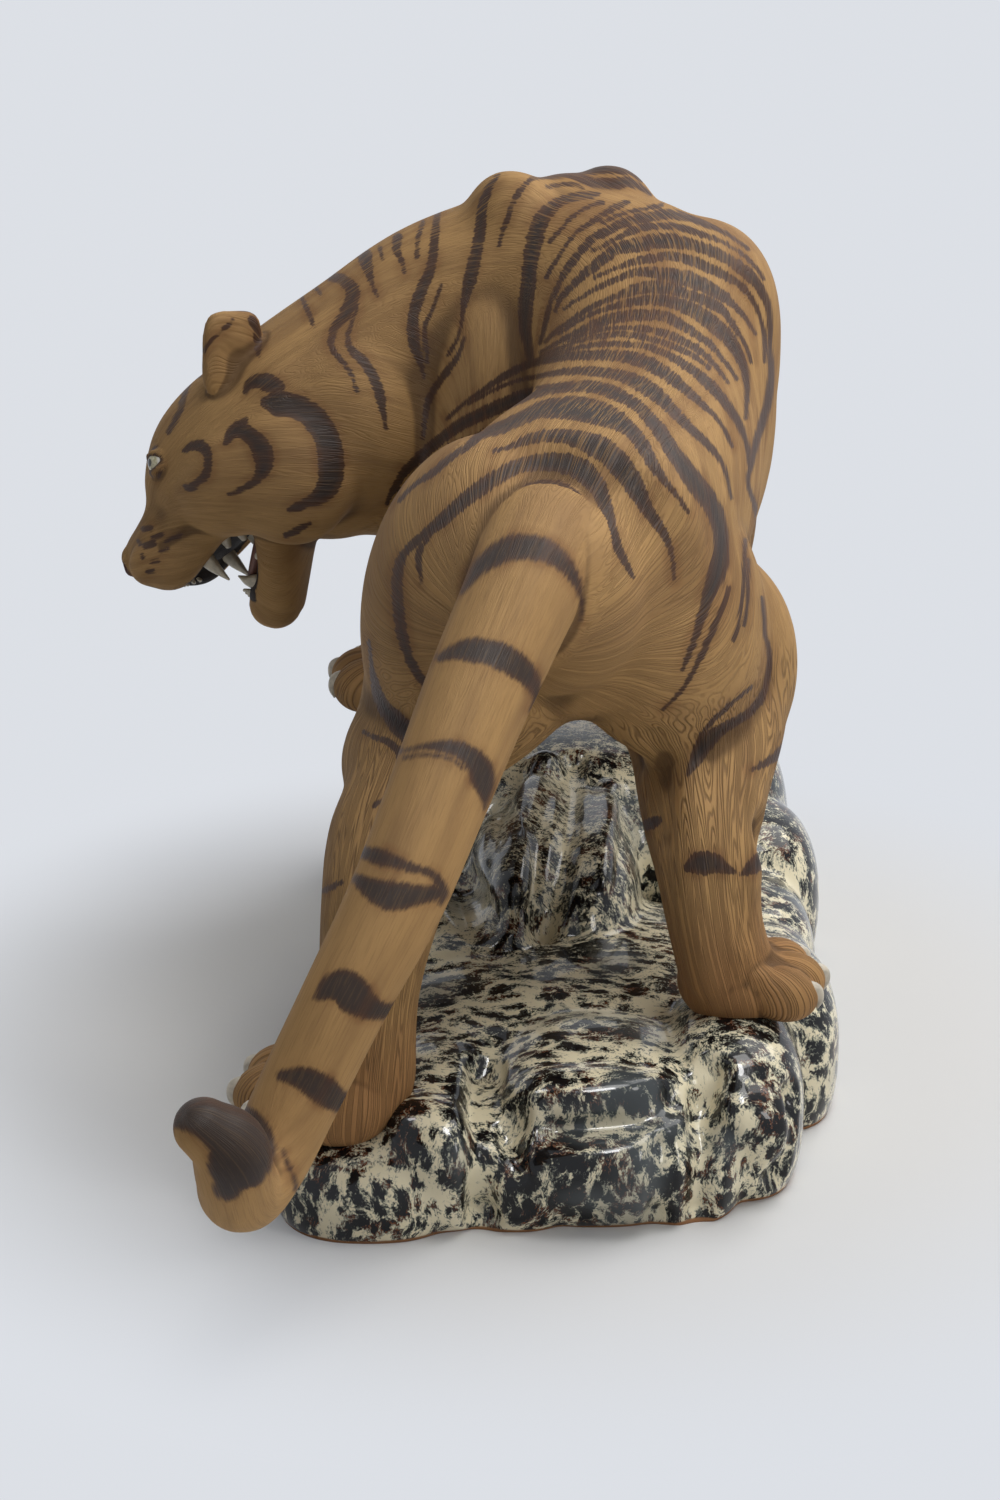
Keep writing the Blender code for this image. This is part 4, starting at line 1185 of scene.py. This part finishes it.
# Of the head, in its own axes: the brow and the lip, then on both sides
# a nostril, an eye socket and an ear's cup.
headDents = [((0, 31, 25), 10, 1.2), ((0, 69, -15), 4, 1.0)]
pairedDents = [((5.5, 69, -10), 3.4, 2.6), ((23, 36, 2), 14, 2.0), ((24.5, -23, 51), 13, 4.5)]


def buildSkin():
    grain = skinGrain
    body = fuse("bodyClay", trunk() + headMass() + legs(), grain["coarseGrid"], grain["bodySoftening"])
    eyesAt = eyePlaces(body)
    lids = eyelids("right", eyesAt["right"]) + eyelids("left", eyesAt["left"])
    pressDents(body, Matrix(), bodyDents)
    details = headDetails() + lids + paws() + [loft("tail", tailStations, upward=Vector((1, 0, 0)))]
    skin = fuse("skin", [body] + details, grain["fineGrid"], grain["lastSoftening"])
    pressDents(skin, headFrame(), headDents + [
        (*mirrored([middle], sign), radius, depth)
        for sign in bothSides.values()
        for middle, radius, depth in pairedDents
    ])
    points, _ = meshArrays(skin)
    quads = readQuads(skin)
    clear = ~((points[:, 1] < -112) & (points[:, 2] > 70) & (points[:, 0] < 40))
    tree = surfaceTree(points, quads[clear[quads].all(axis=1)].tolist())
    pressCreases(skin, throughPhoto(tree, muscleCreases))
    return skin, eyesAt


def mouthInside(local, normals):
    # the palate and the floor of the mouth, where a dark lining is painted near black as painted shade
    across, ahead, above = local.T
    jawPoints = inFrame(local, jawFrame())
    inMouth = (np.abs(across) < 15) & (ahead > -16) & (ahead < 56)
    palate = (normals @ np.array(headFrame())[:3, 2] < -0.25) & (above < -16) & (above > -34)
    floorOfMouth = (np.abs(jawPoints[:, 0]) < 14) & (jawPoints[:, 2] > -4) & (jawPoints[:, 1] < 34)
    facingUp = normals @ np.array(headFrame() @ jawFrame())[:3, 2] > 0.35
    return (inMouth & (palate | (floorOfMouth & facingUp & (above < -14)))).astype(float)


def skinValues(points, normals, faces, eyesAt):
    # what the mesh carries for the clay's material
    coat = layCoat(points)
    tailWeight, limbWeight = coat["tailWeight"], coat["limbWeight"]
    ink, local = paintStripes(points, normals, faces, coat)
    for middle, _, _, _ in eyesAt.values():
        rim = np.linalg.norm(points - np.array(middle), axis=1) - headForm["eyeRadius"] - 1.0
        ink = np.minimum(ink, rim)
    warm = np.zeros(len(points))
    for place, _, _ in pawForm["paws"].values():
        away = np.linalg.norm(points - np.array(place), axis=1)
        warm = np.maximum(warm, 1 - smoothStep(18, 58, away))
    # how hollow each point is; the clay's material paints shade into the hollows from it
    hollow = np.maximum(hollowness(points, normals, faces, 8) * 3, hollowness(points, normals, faces, 60))
    nose = 1 - smoothStep(0.8, 1.1, np.linalg.norm((local - (0, 68.5, -11)) / (7.5, 5.5, 6.5), axis=1))
    onHead = 1 - smoothStep(55, 70, np.linalg.norm(local, axis=1))
    # the combed grooves, with their painted shade, also run under the tail
    underTail = smoothStep(150, 60, np.linalg.norm(points - (4, -112, 170), axis=1))
    combed = np.maximum(smoothStep(0.3, 0.95, limbWeight) * (1 - tailWeight), underTail * 0.3) * (1 - onHead)
    combed = np.clip(combed + 0.2, 0, 1) * (1 - 0.7 * tailWeight)
    values = {name: coat[name] for name in ("ridgeLie", "flankLie", "limbLie")}
    threes = {
        "lieMix": (coat["flankWeight"], limbWeight, coat["ridgeWeight"]),
        "toneAndShade": (warm, tailWeight, hollow),
        "parts": (mouthInside(local, normals), nose, combed),
    }
    return values | {name: np.stack(three, axis=1) for name, three in threes.items()} | {"ink": ink}


def splitSkin(skin, eyesAt, material):
    points, normals = meshArrays(skin)
    faces = readQuads(skin)
    values = skinValues(points, normals, faces, eyesAt)
    middle = points[faces].mean(axis=1)
    ahead = middle[:, 1] >= skinGrain["shoulderSeam"]
    leftOfNeck = middle[:, 0] < skinGrain["neckSeam"]
    behind = middle[:, 1] < skinGrain["rumpSeam"]
    parts = {
        "tigerHead": ahead & leftOfNeck,
        "tigerFore": ahead & ~leftOfNeck,
        "tigerMiddle": ~ahead & ~behind,
        "tigerHind": behind,
    }
    pieces = []
    for name, part in parts.items():
        used, index = np.unique(faces[part], return_inverse=True)
        mesh = bpy.data.meshes.new(name)
        quads = index.reshape(-1, 4)
        mesh.vertices.add(len(used))
        mesh.vertices.foreach_set("co", (points[used] * millimetre).astype(np.float32).ravel())
        mesh.loops.add(len(quads) * 4)
        mesh.loops.foreach_set("vertex_index", quads.astype(np.int32).ravel())
        mesh.polygons.add(len(quads))
        mesh.polygons.foreach_set("loop_start", np.arange(0, len(quads) * 4, 4, dtype=np.int32))
        mesh.polygons.foreach_set("use_smooth", np.ones(len(quads), bool))
        mesh.update(calc_edges=True)
        mesh.validate()
        for key, value in values.items():
            setAttribute(mesh, key, value[used])
        mesh.normals_split_custom_set_from_vertices([Vector(n) for n in normals[used]])
        mesh.materials.append(material)
        pieces.append(addObject(name, mesh))
        print(name, len(quads) * 2, "triangles")
    bpy.data.objects.remove(skin)
    return pieces


rockForm = {"grid": 1.5, "softening": 26}


def rock():
    left, right = ledges["rearLeft"], ledges["rearRight"]
    frontLeft, frontRight = ledges["frontLeft"], ledges["frontRight"]
    lumps = [
        ((-72, -142, left / 2 - 6), (37, 44, left / 2 + 7)),
        ((-80, -110, left / 2 - 6), (33, 44, left / 2 + 6)),
        ((-46, -134, 20), (26, 49, 29)),
        ((-20, -132, 12), (28, 46, 24)),
        ((40, -129, 14), (26, 44, 27)),
        ((10, -128, right / 2 - 8), (43, 50, right / 2 + 4)),
        ((61, -114, right / 2 - 6), (27, 44, right / 2 + 8)),
        ((79, -60, right / 2 - 8), (28, 42, right / 2 + 9)),
        ((78, -24, right / 2 - 8), (26, 36, right / 2)),
        ((0, -50, 22), (92, 96, 32)),
        ((-46, -10, 24), (44, 60, 38)),
        ((74, 20, 20), (32, 44, 34)),
        ((80, 74, 26), (33, 40, 42)),
        ((78, 128, 34), (26, 50, 50)),
        ((0, 112, 36), (84, 66, 54)),
        ((46, 160, frontRight / 2), (50, 52, frontRight / 2 + 4)),
        ((-50, 148, frontLeft / 2 - 6), (42, 44, frontLeft / 2 + 8)),
        ((-2, 176, 34), (30, 36, 44)),
        ((28, 186, 26), (28, 26, 36)),
        ((76, 172, 36), (24, 36, 44)),
        ((-36, 178, 26), (26, 26, 38)),
        ((0, 30, 40), (34, 70, 44)),
        ((-24, 6, 40), (16, 60, 42)),
    ]
    pieces = [ball(f"boulder{i}", centre, radii, squareness=2.6) for i, (centre, radii) in enumerate(lumps)]
    stone = fuse("rock", pieces, rockForm["grid"], rockForm["softening"])
    points, _ = meshArrays(stone)
    quads = readQuads(stone)
    tree = surfaceTree(points, quads.tolist())
    pressCreases(stone, throughPhoto(tree, rockCreases))
    points, normals = meshArrays(stone)
    setAttribute(stone.data, "hollow", np.clip(hollowness(points, normals, quads, 40), -2, 2))
    shape = bmesh.new()
    shape.from_mesh(stone.data)
    everything = list(shape.verts) + list(shape.edges) + list(shape.faces)
    cut = bmesh.ops.bisect_plane(
        shape, geom=everything, plane_co=(0, 0, 0), plane_no=(0, 0, -1), clear_outer=True
    )
    rim = [e for e in cut["geom_cut"] if isinstance(e, bmesh.types.BMEdge)]
    bmesh.ops.holes_fill(shape, edges=rim)
    shape.transform(Matrix.Scale(millimetre, 4))
    for face in shape.faces:
        face.smooth = True
    shape.to_mesh(stone.data)
    shape.free()
    stone.data.materials.append(runningGlaze())
    print("rock", sum(len(p.vertices) - 2 for p in stone.data.polygons), "triangles")
    return stone


# Folds pressed into the rock, as lines over the photograph's frame with a width and a depth;
# a negative depth raises a ridge.
rockCreases = [
    ([(484, 1066), (480, 1100), (478, 1150), (482, 1190), (484, 1215)], 10, 7.5),
    ([(712, 1072), (704, 1110), (706, 1150), (703, 1190), (700, 1215)], 9, 6.5),
    ([(556, 1128), (600, 1124), (640, 1116), (672, 1100)], 10, 7),
    ([(540, 1094), (575, 1092), (620, 1090), (655, 1098)], 17, -4.5),
    ([(515, 1178), (560, 1172), (610, 1170), (650, 1178)], 20, -6),
    ([(742, 1118), (760, 1124), (778, 1138)], 16, -6),
    ([(412, 1128), (435, 1134), (460, 1150)], 20, -7),
    ([(792, 1095), (789, 1130), (776, 1175), (768, 1205)], 8, 5),
    ([(545, 765), (530, 800), (518, 850), (512, 890)], 10, -7),
    ([(575, 760), (570, 820), (560, 880), (545, 930)], 8, 5),
    ([(610, 790), (604, 840), (600, 880)], 8, -4),
    ([(462, 880), (475, 900), (488, 915)], 14, 7),
    ([(660, 1150), (655, 1180), (658, 1212)], 8, 4),
    ([(520, 1120), (512, 1150), (520, 1200)], 9, 4),
]


glazeFinish = {
    "black": (0.004, 0.004, 0.005),
    "slate": (0.030, 0.032, 0.028),
    "mist": (0.175, 0.19, 0.16),
    "cream": (0.76, 0.69, 0.50),
    "rust": (0.15, 0.045, 0.014),
    "milk": (0.12, 0.14, 0.15),
    "foot": (0.30, 0.15, 0.07),
    "gloss": 0.5,
    "drift": 5.5,  # how far the running glaze has wandered, in millimetres
    # size of each pattern's features in millimetres; a pair is for upright faces and for flat ones
    "grain": {
        "wander": (34, 34, 34),
        "ragged": (2.6, 2.6, 3.4),
        "islands": ((4.6, 4.6, 8.0), (8.5, 4.4, 4.4)),
        "veins": ((1.5, 1.5, 5.5), (4.6, 1.5, 1.5)),
        "speckle": (0.9, 0.9, 1.8),
        "pools": (20, 20, 18),
        "rust": (13, 13, 13),
        "milk": (46, 46, 46),
    },
    # name: the value that counts as none, and its share in how thick the glaze is
    "shares": {
        "pools": (0.5, 1.0),
        "veins": (0.5, 1.15),
        "speckle": (0.5, 1.0),
        "hollow": (0.0, 0.07),
        "thin": (0.0, 0.05),
    },
    # thickness at which a colour begins, and at which it covers
    "slateFrom": (0.34, 0.50),
    "rustFrom": (0.32, 0.41),
    "rustUpTo": (0.54, 0.46),
    "mistFrom": (0.39, 0.57),
    "creamFrom": (0.47, 0.73),
    # heights in millimetres over which the glaze thins, its spots begin and the bare foot ends
    "thinBelow": (14.0, 2.0),
    "spotsAbove": (62.0, 78.0),
    "footBelow": (0.3, -0.5),
    "spotScale": (0.27, 0.27, 0.19),  # spots in a millimetre
}


def runningGlaze():
    material, tree, shader = newFinish("runningGlaze")
    finish = glazeFinish
    grain = finish["grain"]
    place = vectorMath(tree, "MULTIPLY", addNode(tree, "TexCoord").outputs["Object"], (1000, 1000, 1000))
    height = splitVector(tree, place)[2]
    ragged = noiseShift(tree, place, grain["ragged"], 3)
    flowed = vectorMath(tree, "ADD", place, noiseShift(tree, place, grain["wander"], finish["drift"] * 4))
    flowed = vectorMath(tree, "ADD", flowed, ragged)
    flat = ramped(tree, splitVector(tree, addNode(tree, "NewGeometry").outputs["Normal"])[2], 0.55, 0.85)

    # islands and veins run down the upright faces and across the flat ones
    islands, veins = [], []
    for islandGrain, veinGrain in zip(grain["islands"], grain["veins"]):
        cells = {"Vector": perGrain(tree, flowed, islandGrain), "Scale": 1.0, "Smoothness": 0.35}
        islands.append(addNode(tree, "TexVoronoi", cells, feature="SMOOTH_F1").outputs["Distance"])
        veins.append(stretchedNoise(tree, flowed, veinGrain, 4.0, 0.65, 0.5)[0])
    veins = mixValue(tree, flat, *veins)
    pools = stretchedNoise(tree, flowed, grain["pools"], 2.0)[0]
    spots = vectorMath(tree, "MULTIPLY", vectorMath(tree, "ADD", place, ragged), finish["spotScale"])
    spots = addNode(tree, "TexVoronoi", {"Vector": spots, "Scale": 1.0}, feature="F1").outputs["Distance"]
    spots = mathValue(tree, "MULTIPLY_ADD", spots, 0.55, 0.26)
    spotted = ramped(tree, mathValue(tree, "ADD", height, times(tree, pools, 20.0)), *finish["spotsAbove"])
    thickness = mixValue(tree, times(tree, spotted, 0.85), mixValue(tree, flat, *islands), spots)
    sources = {
        "pools": pools,
        "veins": veins,
        "speckle": stretchedNoise(tree, flowed, grain["speckle"], 2.0)[0],
        "hollow": attribute(tree, "hollow")["Fac"],
        "thin": ramped(tree, height, *finish["thinBelow"]),
    }
    for name, source in sources.items():
        none, share = finish["shares"][name]
        thickness = mathValue(tree, "ADD", thickness, times(tree, minus(tree, source, none), share))

    colour = mixColour(tree, ramped(tree, thickness, *finish["slateFrom"]), finish["black"], finish["slate"])
    rising, falling = (ramped(tree, thickness, *finish[key]) for key in ("rustFrom", "rustUpTo"))
    patches = ramped(tree, stretchedNoise(tree, place, grain["rust"], 2.0)[0], 0.50, 0.62)
    milky = ramped(tree, stretchedNoise(tree, place, grain["milk"], 1.0)[0], 0.54, 0.68, (0.0, 0.4))
    footMask = ramped(tree, minus(tree, height, times(tree, pools, 3.0)), *finish["footBelow"])
    layers = {
        "rust": times(tree, times(tree, rising, falling), patches),
        "mist": ramped(tree, thickness, *finish["mistFrom"]),
        "cream": ramped(tree, thickness, *finish["creamFrom"]),
        "milk": milky,
        "foot": footMask,
    }
    for name, mask in layers.items():
        colour = mixColour(tree, mask, colour, finish[name])
    tree.links.new(colour, shader.inputs["Base Color"])
    roughness = mixValue(tree, footMask, ramped(tree, veins, 0.3, 0.7, (0.12, 0.25)), 0.7)
    tree.links.new(roughness, shader.inputs["Roughness"])
    tree.links.new(ramped(tree, footMask, 1.0, 0.0, (0.0, finish["gloss"])), shader.inputs["Coat Weight"])
    shader.inputs["Coat Roughness"].default_value = 0.03
    shader.inputs["Specular IOR Level"].default_value = 0.1
    bump = addNode(tree, "Bump", {"Strength": 0.15, "Distance": 0.0006, "Height": thickness})
    tree.links.new(bump.outputs[0], shader.inputs["Normal"])
    return material


clayFinish = {
    "pale": (0.40, 0.238, 0.095),
    "deep": (0.27, 0.155, 0.065),
    "warm": (0.32, 0.152, 0.058),
    "halo": (0.20, 0.098, 0.038),
    # the colour of the painted shade in hollows and in the combed grooves
    "groove": (0.085, 0.045, 0.02),
    "slateInk": (0.030, 0.021, 0.019),
    "brownInk": (0.070, 0.031, 0.017),
    # inside the mouth: a dark lining painted near black as painted shade
    "mouthShade": (0.022, 0.016, 0.014),
    "nose": (0.10, 0.045, 0.028),
    # size of the streaks across and along the hair in millimetres, and the noise's detail
    "streaks": {
        "hair": (0.6, 12.0, 2.0),
        "lock": (1.2, 17.0, 1.0),
        "strand": (3.4, 70.0, 0.0),
        "patch": (10.0, 60.0, 2.0),
    },
}


def hairStreaks(tree, across, along, detail):
    # noise drawn out along the coat
    grain = (across, across, along)
    lies = [attribute(tree, name)["Vector"] for name in ("ridgeLie", "flankLie", "limbLie")]
    ridge, flank, limb = (stretchedNoise(tree, lie, grain, detail)[0] for lie in lies)
    onFlank, onLimb, _ = threeValues(tree, "lieMix")
    return mixValue(tree, onLimb, mixValue(tree, onFlank, ridge, flank), limb)


def brushedClay():
    material, tree, shader = newFinish("brushedClay")
    finish = clayFinish
    hair, lock, strand, patch = (hairStreaks(tree, *streak) for streak in finish["streaks"].values())
    _, _, ridge = threeValues(tree, "lieMix")
    warm, tail, hollow = threeValues(tree, "toneAndShade")
    mouthShade, nose, combed = threeValues(tree, "parts")
    ink = attribute(tree, "ink")["Fac"]

    # bare clay: painted shade in hollows and in the combed grooves, and darker beside the paint
    strand = mathValue(tree, "MULTIPLY_ADD", strand, 15.0, times(tree, lock, 0.9))
    groove = times(tree, ramped(tree, mathValue(tree, "PINGPONG", strand, 0.5), 0.30, 0.02), combed)
    clay = mixColour(tree, ramped(tree, patch, 0.36, 0.78), finish["pale"], finish["deep"])
    clay = mixColour(tree, times(tree, ramped(tree, hair, 0.48, 0.7), 0.6), clay, finish["deep"])
    halo = times(tree, ramped(tree, ink, 4.5, 0.5), ramped(tree, patch, 0.4, 0.65, (0.1, 0.6)))
    clay = mixColour(tree, halo, clay, finish["halo"])
    clay = mixColour(tree, times(tree, warm, 0.7), clay, finish["warm"])
    # painted shade: the clay turns dark in hollows and in the combed grooves
    paintedShade = ramped(tree, hollow, 0.05, 0.9, (0.0, 0.75))
    paintedShade = mathValue(tree, "MAXIMUM", paintedShade, times(tree, groove, 0.55))
    clay = mixColour(tree, paintedShade, clay, finish["groove"])

    # painted stripes with an edge that follows the hair
    feather = mathValue(tree, "ADD", times(tree, hair, 2.6), times(tree, lock, 1.8))
    painted = mathValue(tree, "ADD", ink, minus(tree, feather, 2.3))
    soft = mixValue(tree, tail, 0.3, 0.9)
    mask = mathValue(tree, "DIVIDE", minus(tree, soft, painted), times(tree, soft, 2.0), clamp=True)
    bare = times(tree, ramped(tree, hair, 0.52, 0.62), mathValue(tree, "ADD", times(tree, ridge, 0.5), 0.12))
    mask = times(tree, mask, minus(tree, 1.0, bare))
    worn = ramped(tree, patch, 0.5, 0.7, (0.0, 0.5))
    brown = mathValue(tree, "ADD", ramped(tree, ink, -3.0, -0.2, (0.0, 0.7)), worn, clamp=True)
    brush = mixColour(tree, brown, finish["slateInk"], finish["brownInk"])
    colour = mixColour(tree, times(tree, mask, 0.97), clay, brush)
    colour = mixColour(tree, nose, colour, finish["nose"])
    # painted shade inside the mouth
    colour = mixColour(tree, mouthShade, colour, finish["mouthShade"])
    tree.links.new(colour, shader.inputs["Base Color"])
    tree.links.new(ramped(tree, mask, 0.0, 1.0, (0.7, 0.5)), shader.inputs["Roughness"])
    shader.inputs["Specular IOR Level"].default_value = 0.18
    height = minus(tree, times(tree, hair, 0.5), groove)
    bump = addNode(tree, "Bump", {"Strength": 0.7, "Distance": 0.0007, "Height": height})
    tree.links.new(bump.outputs[0], shader.inputs["Normal"])
    return material


def fleckGroup():
    # small uneven flecks between two colours, shared by the teeth, claws, tongue and eyes
    group = bpy.data.node_groups.new("glazeFlecks", "ShaderNodeTree")
    for name, kind in (("Light", "Color"), ("Dark", "Color"), ("Fineness", "Float")):
        group.interface.new_socket(name, in_out="INPUT", socket_type=f"NodeSocket{kind}")
    group.interface.new_socket("Colour", in_out="OUTPUT", socket_type="NodeSocketColor")
    given = group.nodes.new("NodeGroupInput").outputs
    place = addNode(group, "TexCoord").outputs["Object"]
    noise = addNode(group, "TexNoise", {"Vector": place, "Scale": given["Fineness"], "Detail": 3.0})
    colour = mixColour(group, ramped(group, noise.outputs[0], 0.35, 0.7), given["Light"], given["Dark"])
    group.links.new(colour, group.nodes.new("NodeGroupOutput").inputs["Colour"])
    return group


def flecks(tree, light, dark, fineness):
    node = tree.nodes.new("ShaderNodeGroup")
    node.node_tree = bpy.data.node_groups.get("glazeFlecks") or fleckGroup()
    node.inputs["Light"].default_value = (*light, 1)
    node.inputs["Dark"].default_value = (*dark, 1)
    node.inputs["Fineness"].default_value = fineness
    return node.outputs["Colour"]


def fleckedFinish(name, colour, roughness):
    material, tree, shader = newFinish(name)
    shade = tuple(c * 0.7 for c in colour)
    tree.links.new(flecks(tree, colour, shade, 300.0), shader.inputs["Base Color"])
    shader.inputs["Roughness"].default_value = roughness
    return material


def teeth():
    forward = Vector((0, 1, 0))
    frames = {"Upper": headFrame(), "Lower": headFrame() @ jawFrame()}
    rows = {
        "UpperCanine": [(12, 29, -19, 3.4, 3.8), (12, 27, -26, 2.8, 3.2), (11.5, 22.5, -35.5, 0.6, 0.6)],
        "LowerCanine": [(10, 25, -1, 2.8, 3), (10.4, 25.6, 3, 2.3, 2.5), (10, 24.5, 8, 0.5, 0.5)],
    }
    for i, side in enumerate((1.6, 4.8, 7.8)):
        upper, lower = i * 1.8, i * 1.4
        rows[f"UpperIncisor{i}"] = [(side, 48 - upper, -24, 1.6, 1.3), (side, 47 - upper, -28.5, 1.3, 0.9)]
        rows[f"LowerIncisor{i}"] = [(side, 33 - lower, 0, 1.5, 1.3), (side, 33.2 - lower, 5.5, 1.2, 0.8)]
    for i, ahead in enumerate((15, 7)):
        rows[f"UpperMolar{i}"] = [(15, ahead, -18, 2.3, 3.4), (14.6, ahead, -23, 0.9, 1.5)]
        rows[f"LowerMolar{i}"] = [(13, ahead - 1, -5, 2.3, 3.4), (12.6, ahead - 1, 0, 0.9, 1.5)]
    pieces = []
    for side, sign in bothSides.items():
        for name, stations in rows.items():
            look = {"place": frames[name[:5]], "sides": 16 if "Canine" in name else 12}
            pieces.append(loft(side + name, mirrored(stations, sign), upward=forward, **look))
    return pieces


def tongue():
    stations = [(0, -8, -2, 11, 6), (0, 6, 0, 12, 5), (0, 18, 2, 11, 4), (0, 27, 4, 8, 3)]
    return [loft("tongue", stations, place=headFrame() @ jawFrame())]


def mergeInto(name, pieces, material):
    shape = bmesh.new()
    for piece in pieces:
        shape.from_mesh(piece.data)
        bpy.data.objects.remove(piece)
    shape.transform(Matrix.Scale(millimetre, 4))
    for face in shape.faces:
        face.smooth = True
    thing = objectFrom(name, shape)
    thing.data.materials.append(material)
    return thing


eyeFinish = {
    "iris": ((0.42, 0.38, 0.22), (0.62, 0.58, 0.42)),
    "white": (0.70, 0.68, 0.62),
    "pupil": (0.008, 0.008, 0.008),
    # turn from the gaze, in radians, over which the pupil ends and the white begins
    "pupilEdge": (0.30, 0.22),
    "irisEdge": (0.62, 0.78),
}


def eyeGlaze():
    # the pupil looks along the gaze: the mesh carries how far each point turns from it
    material, tree, shader = newFinish("eyeGlaze")
    finish = eyeFinish
    turned = attribute(tree, "fromGaze")["Fac"]
    iris = flecks(tree, *finish["iris"], 900.0)
    edge = mixColour(tree, ramped(tree, turned, *finish["irisEdge"]), iris, finish["white"])
    colour = mixColour(tree, ramped(tree, turned, *finish["pupilEdge"]), edge, finish["pupil"])
    tree.links.new(colour, shader.inputs["Base Color"])
    shader.inputs["Roughness"].default_value = 0.07
    return material


def eyes(eyesAt):
    shape = bmesh.new()
    turned = shape.verts.layers.float.new("fromGaze")
    for middle, gaze, _, _ in eyesAt.values():
        made = bmesh.ops.create_icosphere(shape, subdivisions=5, radius=headForm["eyeRadius"])["verts"]
        for v in made:
            v[turned] = v.co.angle(gaze)
            v.co = (v.co * (1 + 0.05 * max(0, v.co.normalized().dot(gaze)) ** 8) + middle) * millimetre
    for face in shape.faces:
        face.smooth = True
    thing = objectFrom("eyes", shape)
    thing.data.materials.append(eyeGlaze())
    return thing


# name: what makes it, and its material, colour and roughness
smallPieces = {
    "claws": (claws, "hornClaw", (0.60, 0.54, 0.44), 0.35),
    "teeth": (teeth, "toothGlaze", (0.56, 0.50, 0.38), 0.25),
    "tongue": (tongue, "tongueClay", (0.16, 0.07, 0.05), 0.5),
}

setCamera()
setStudio()
skin, eyesAt = buildSkin()
print("skin fused", len(skin.data.polygons))
pieces = splitSkin(skin, eyesAt, brushedClay())
print("skin painted")
pieces.append(rock())
for name, (make, finish, colour, roughness) in smallPieces.items():
    pieces.append(mergeInto(name, make(), fleckedFinish(finish, colour, roughness)))
pieces.append(eyes(eyesAt))
for piece in pieces:
    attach(piece, "root")
    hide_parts("tiger_figurine")
print("all pieces placed")
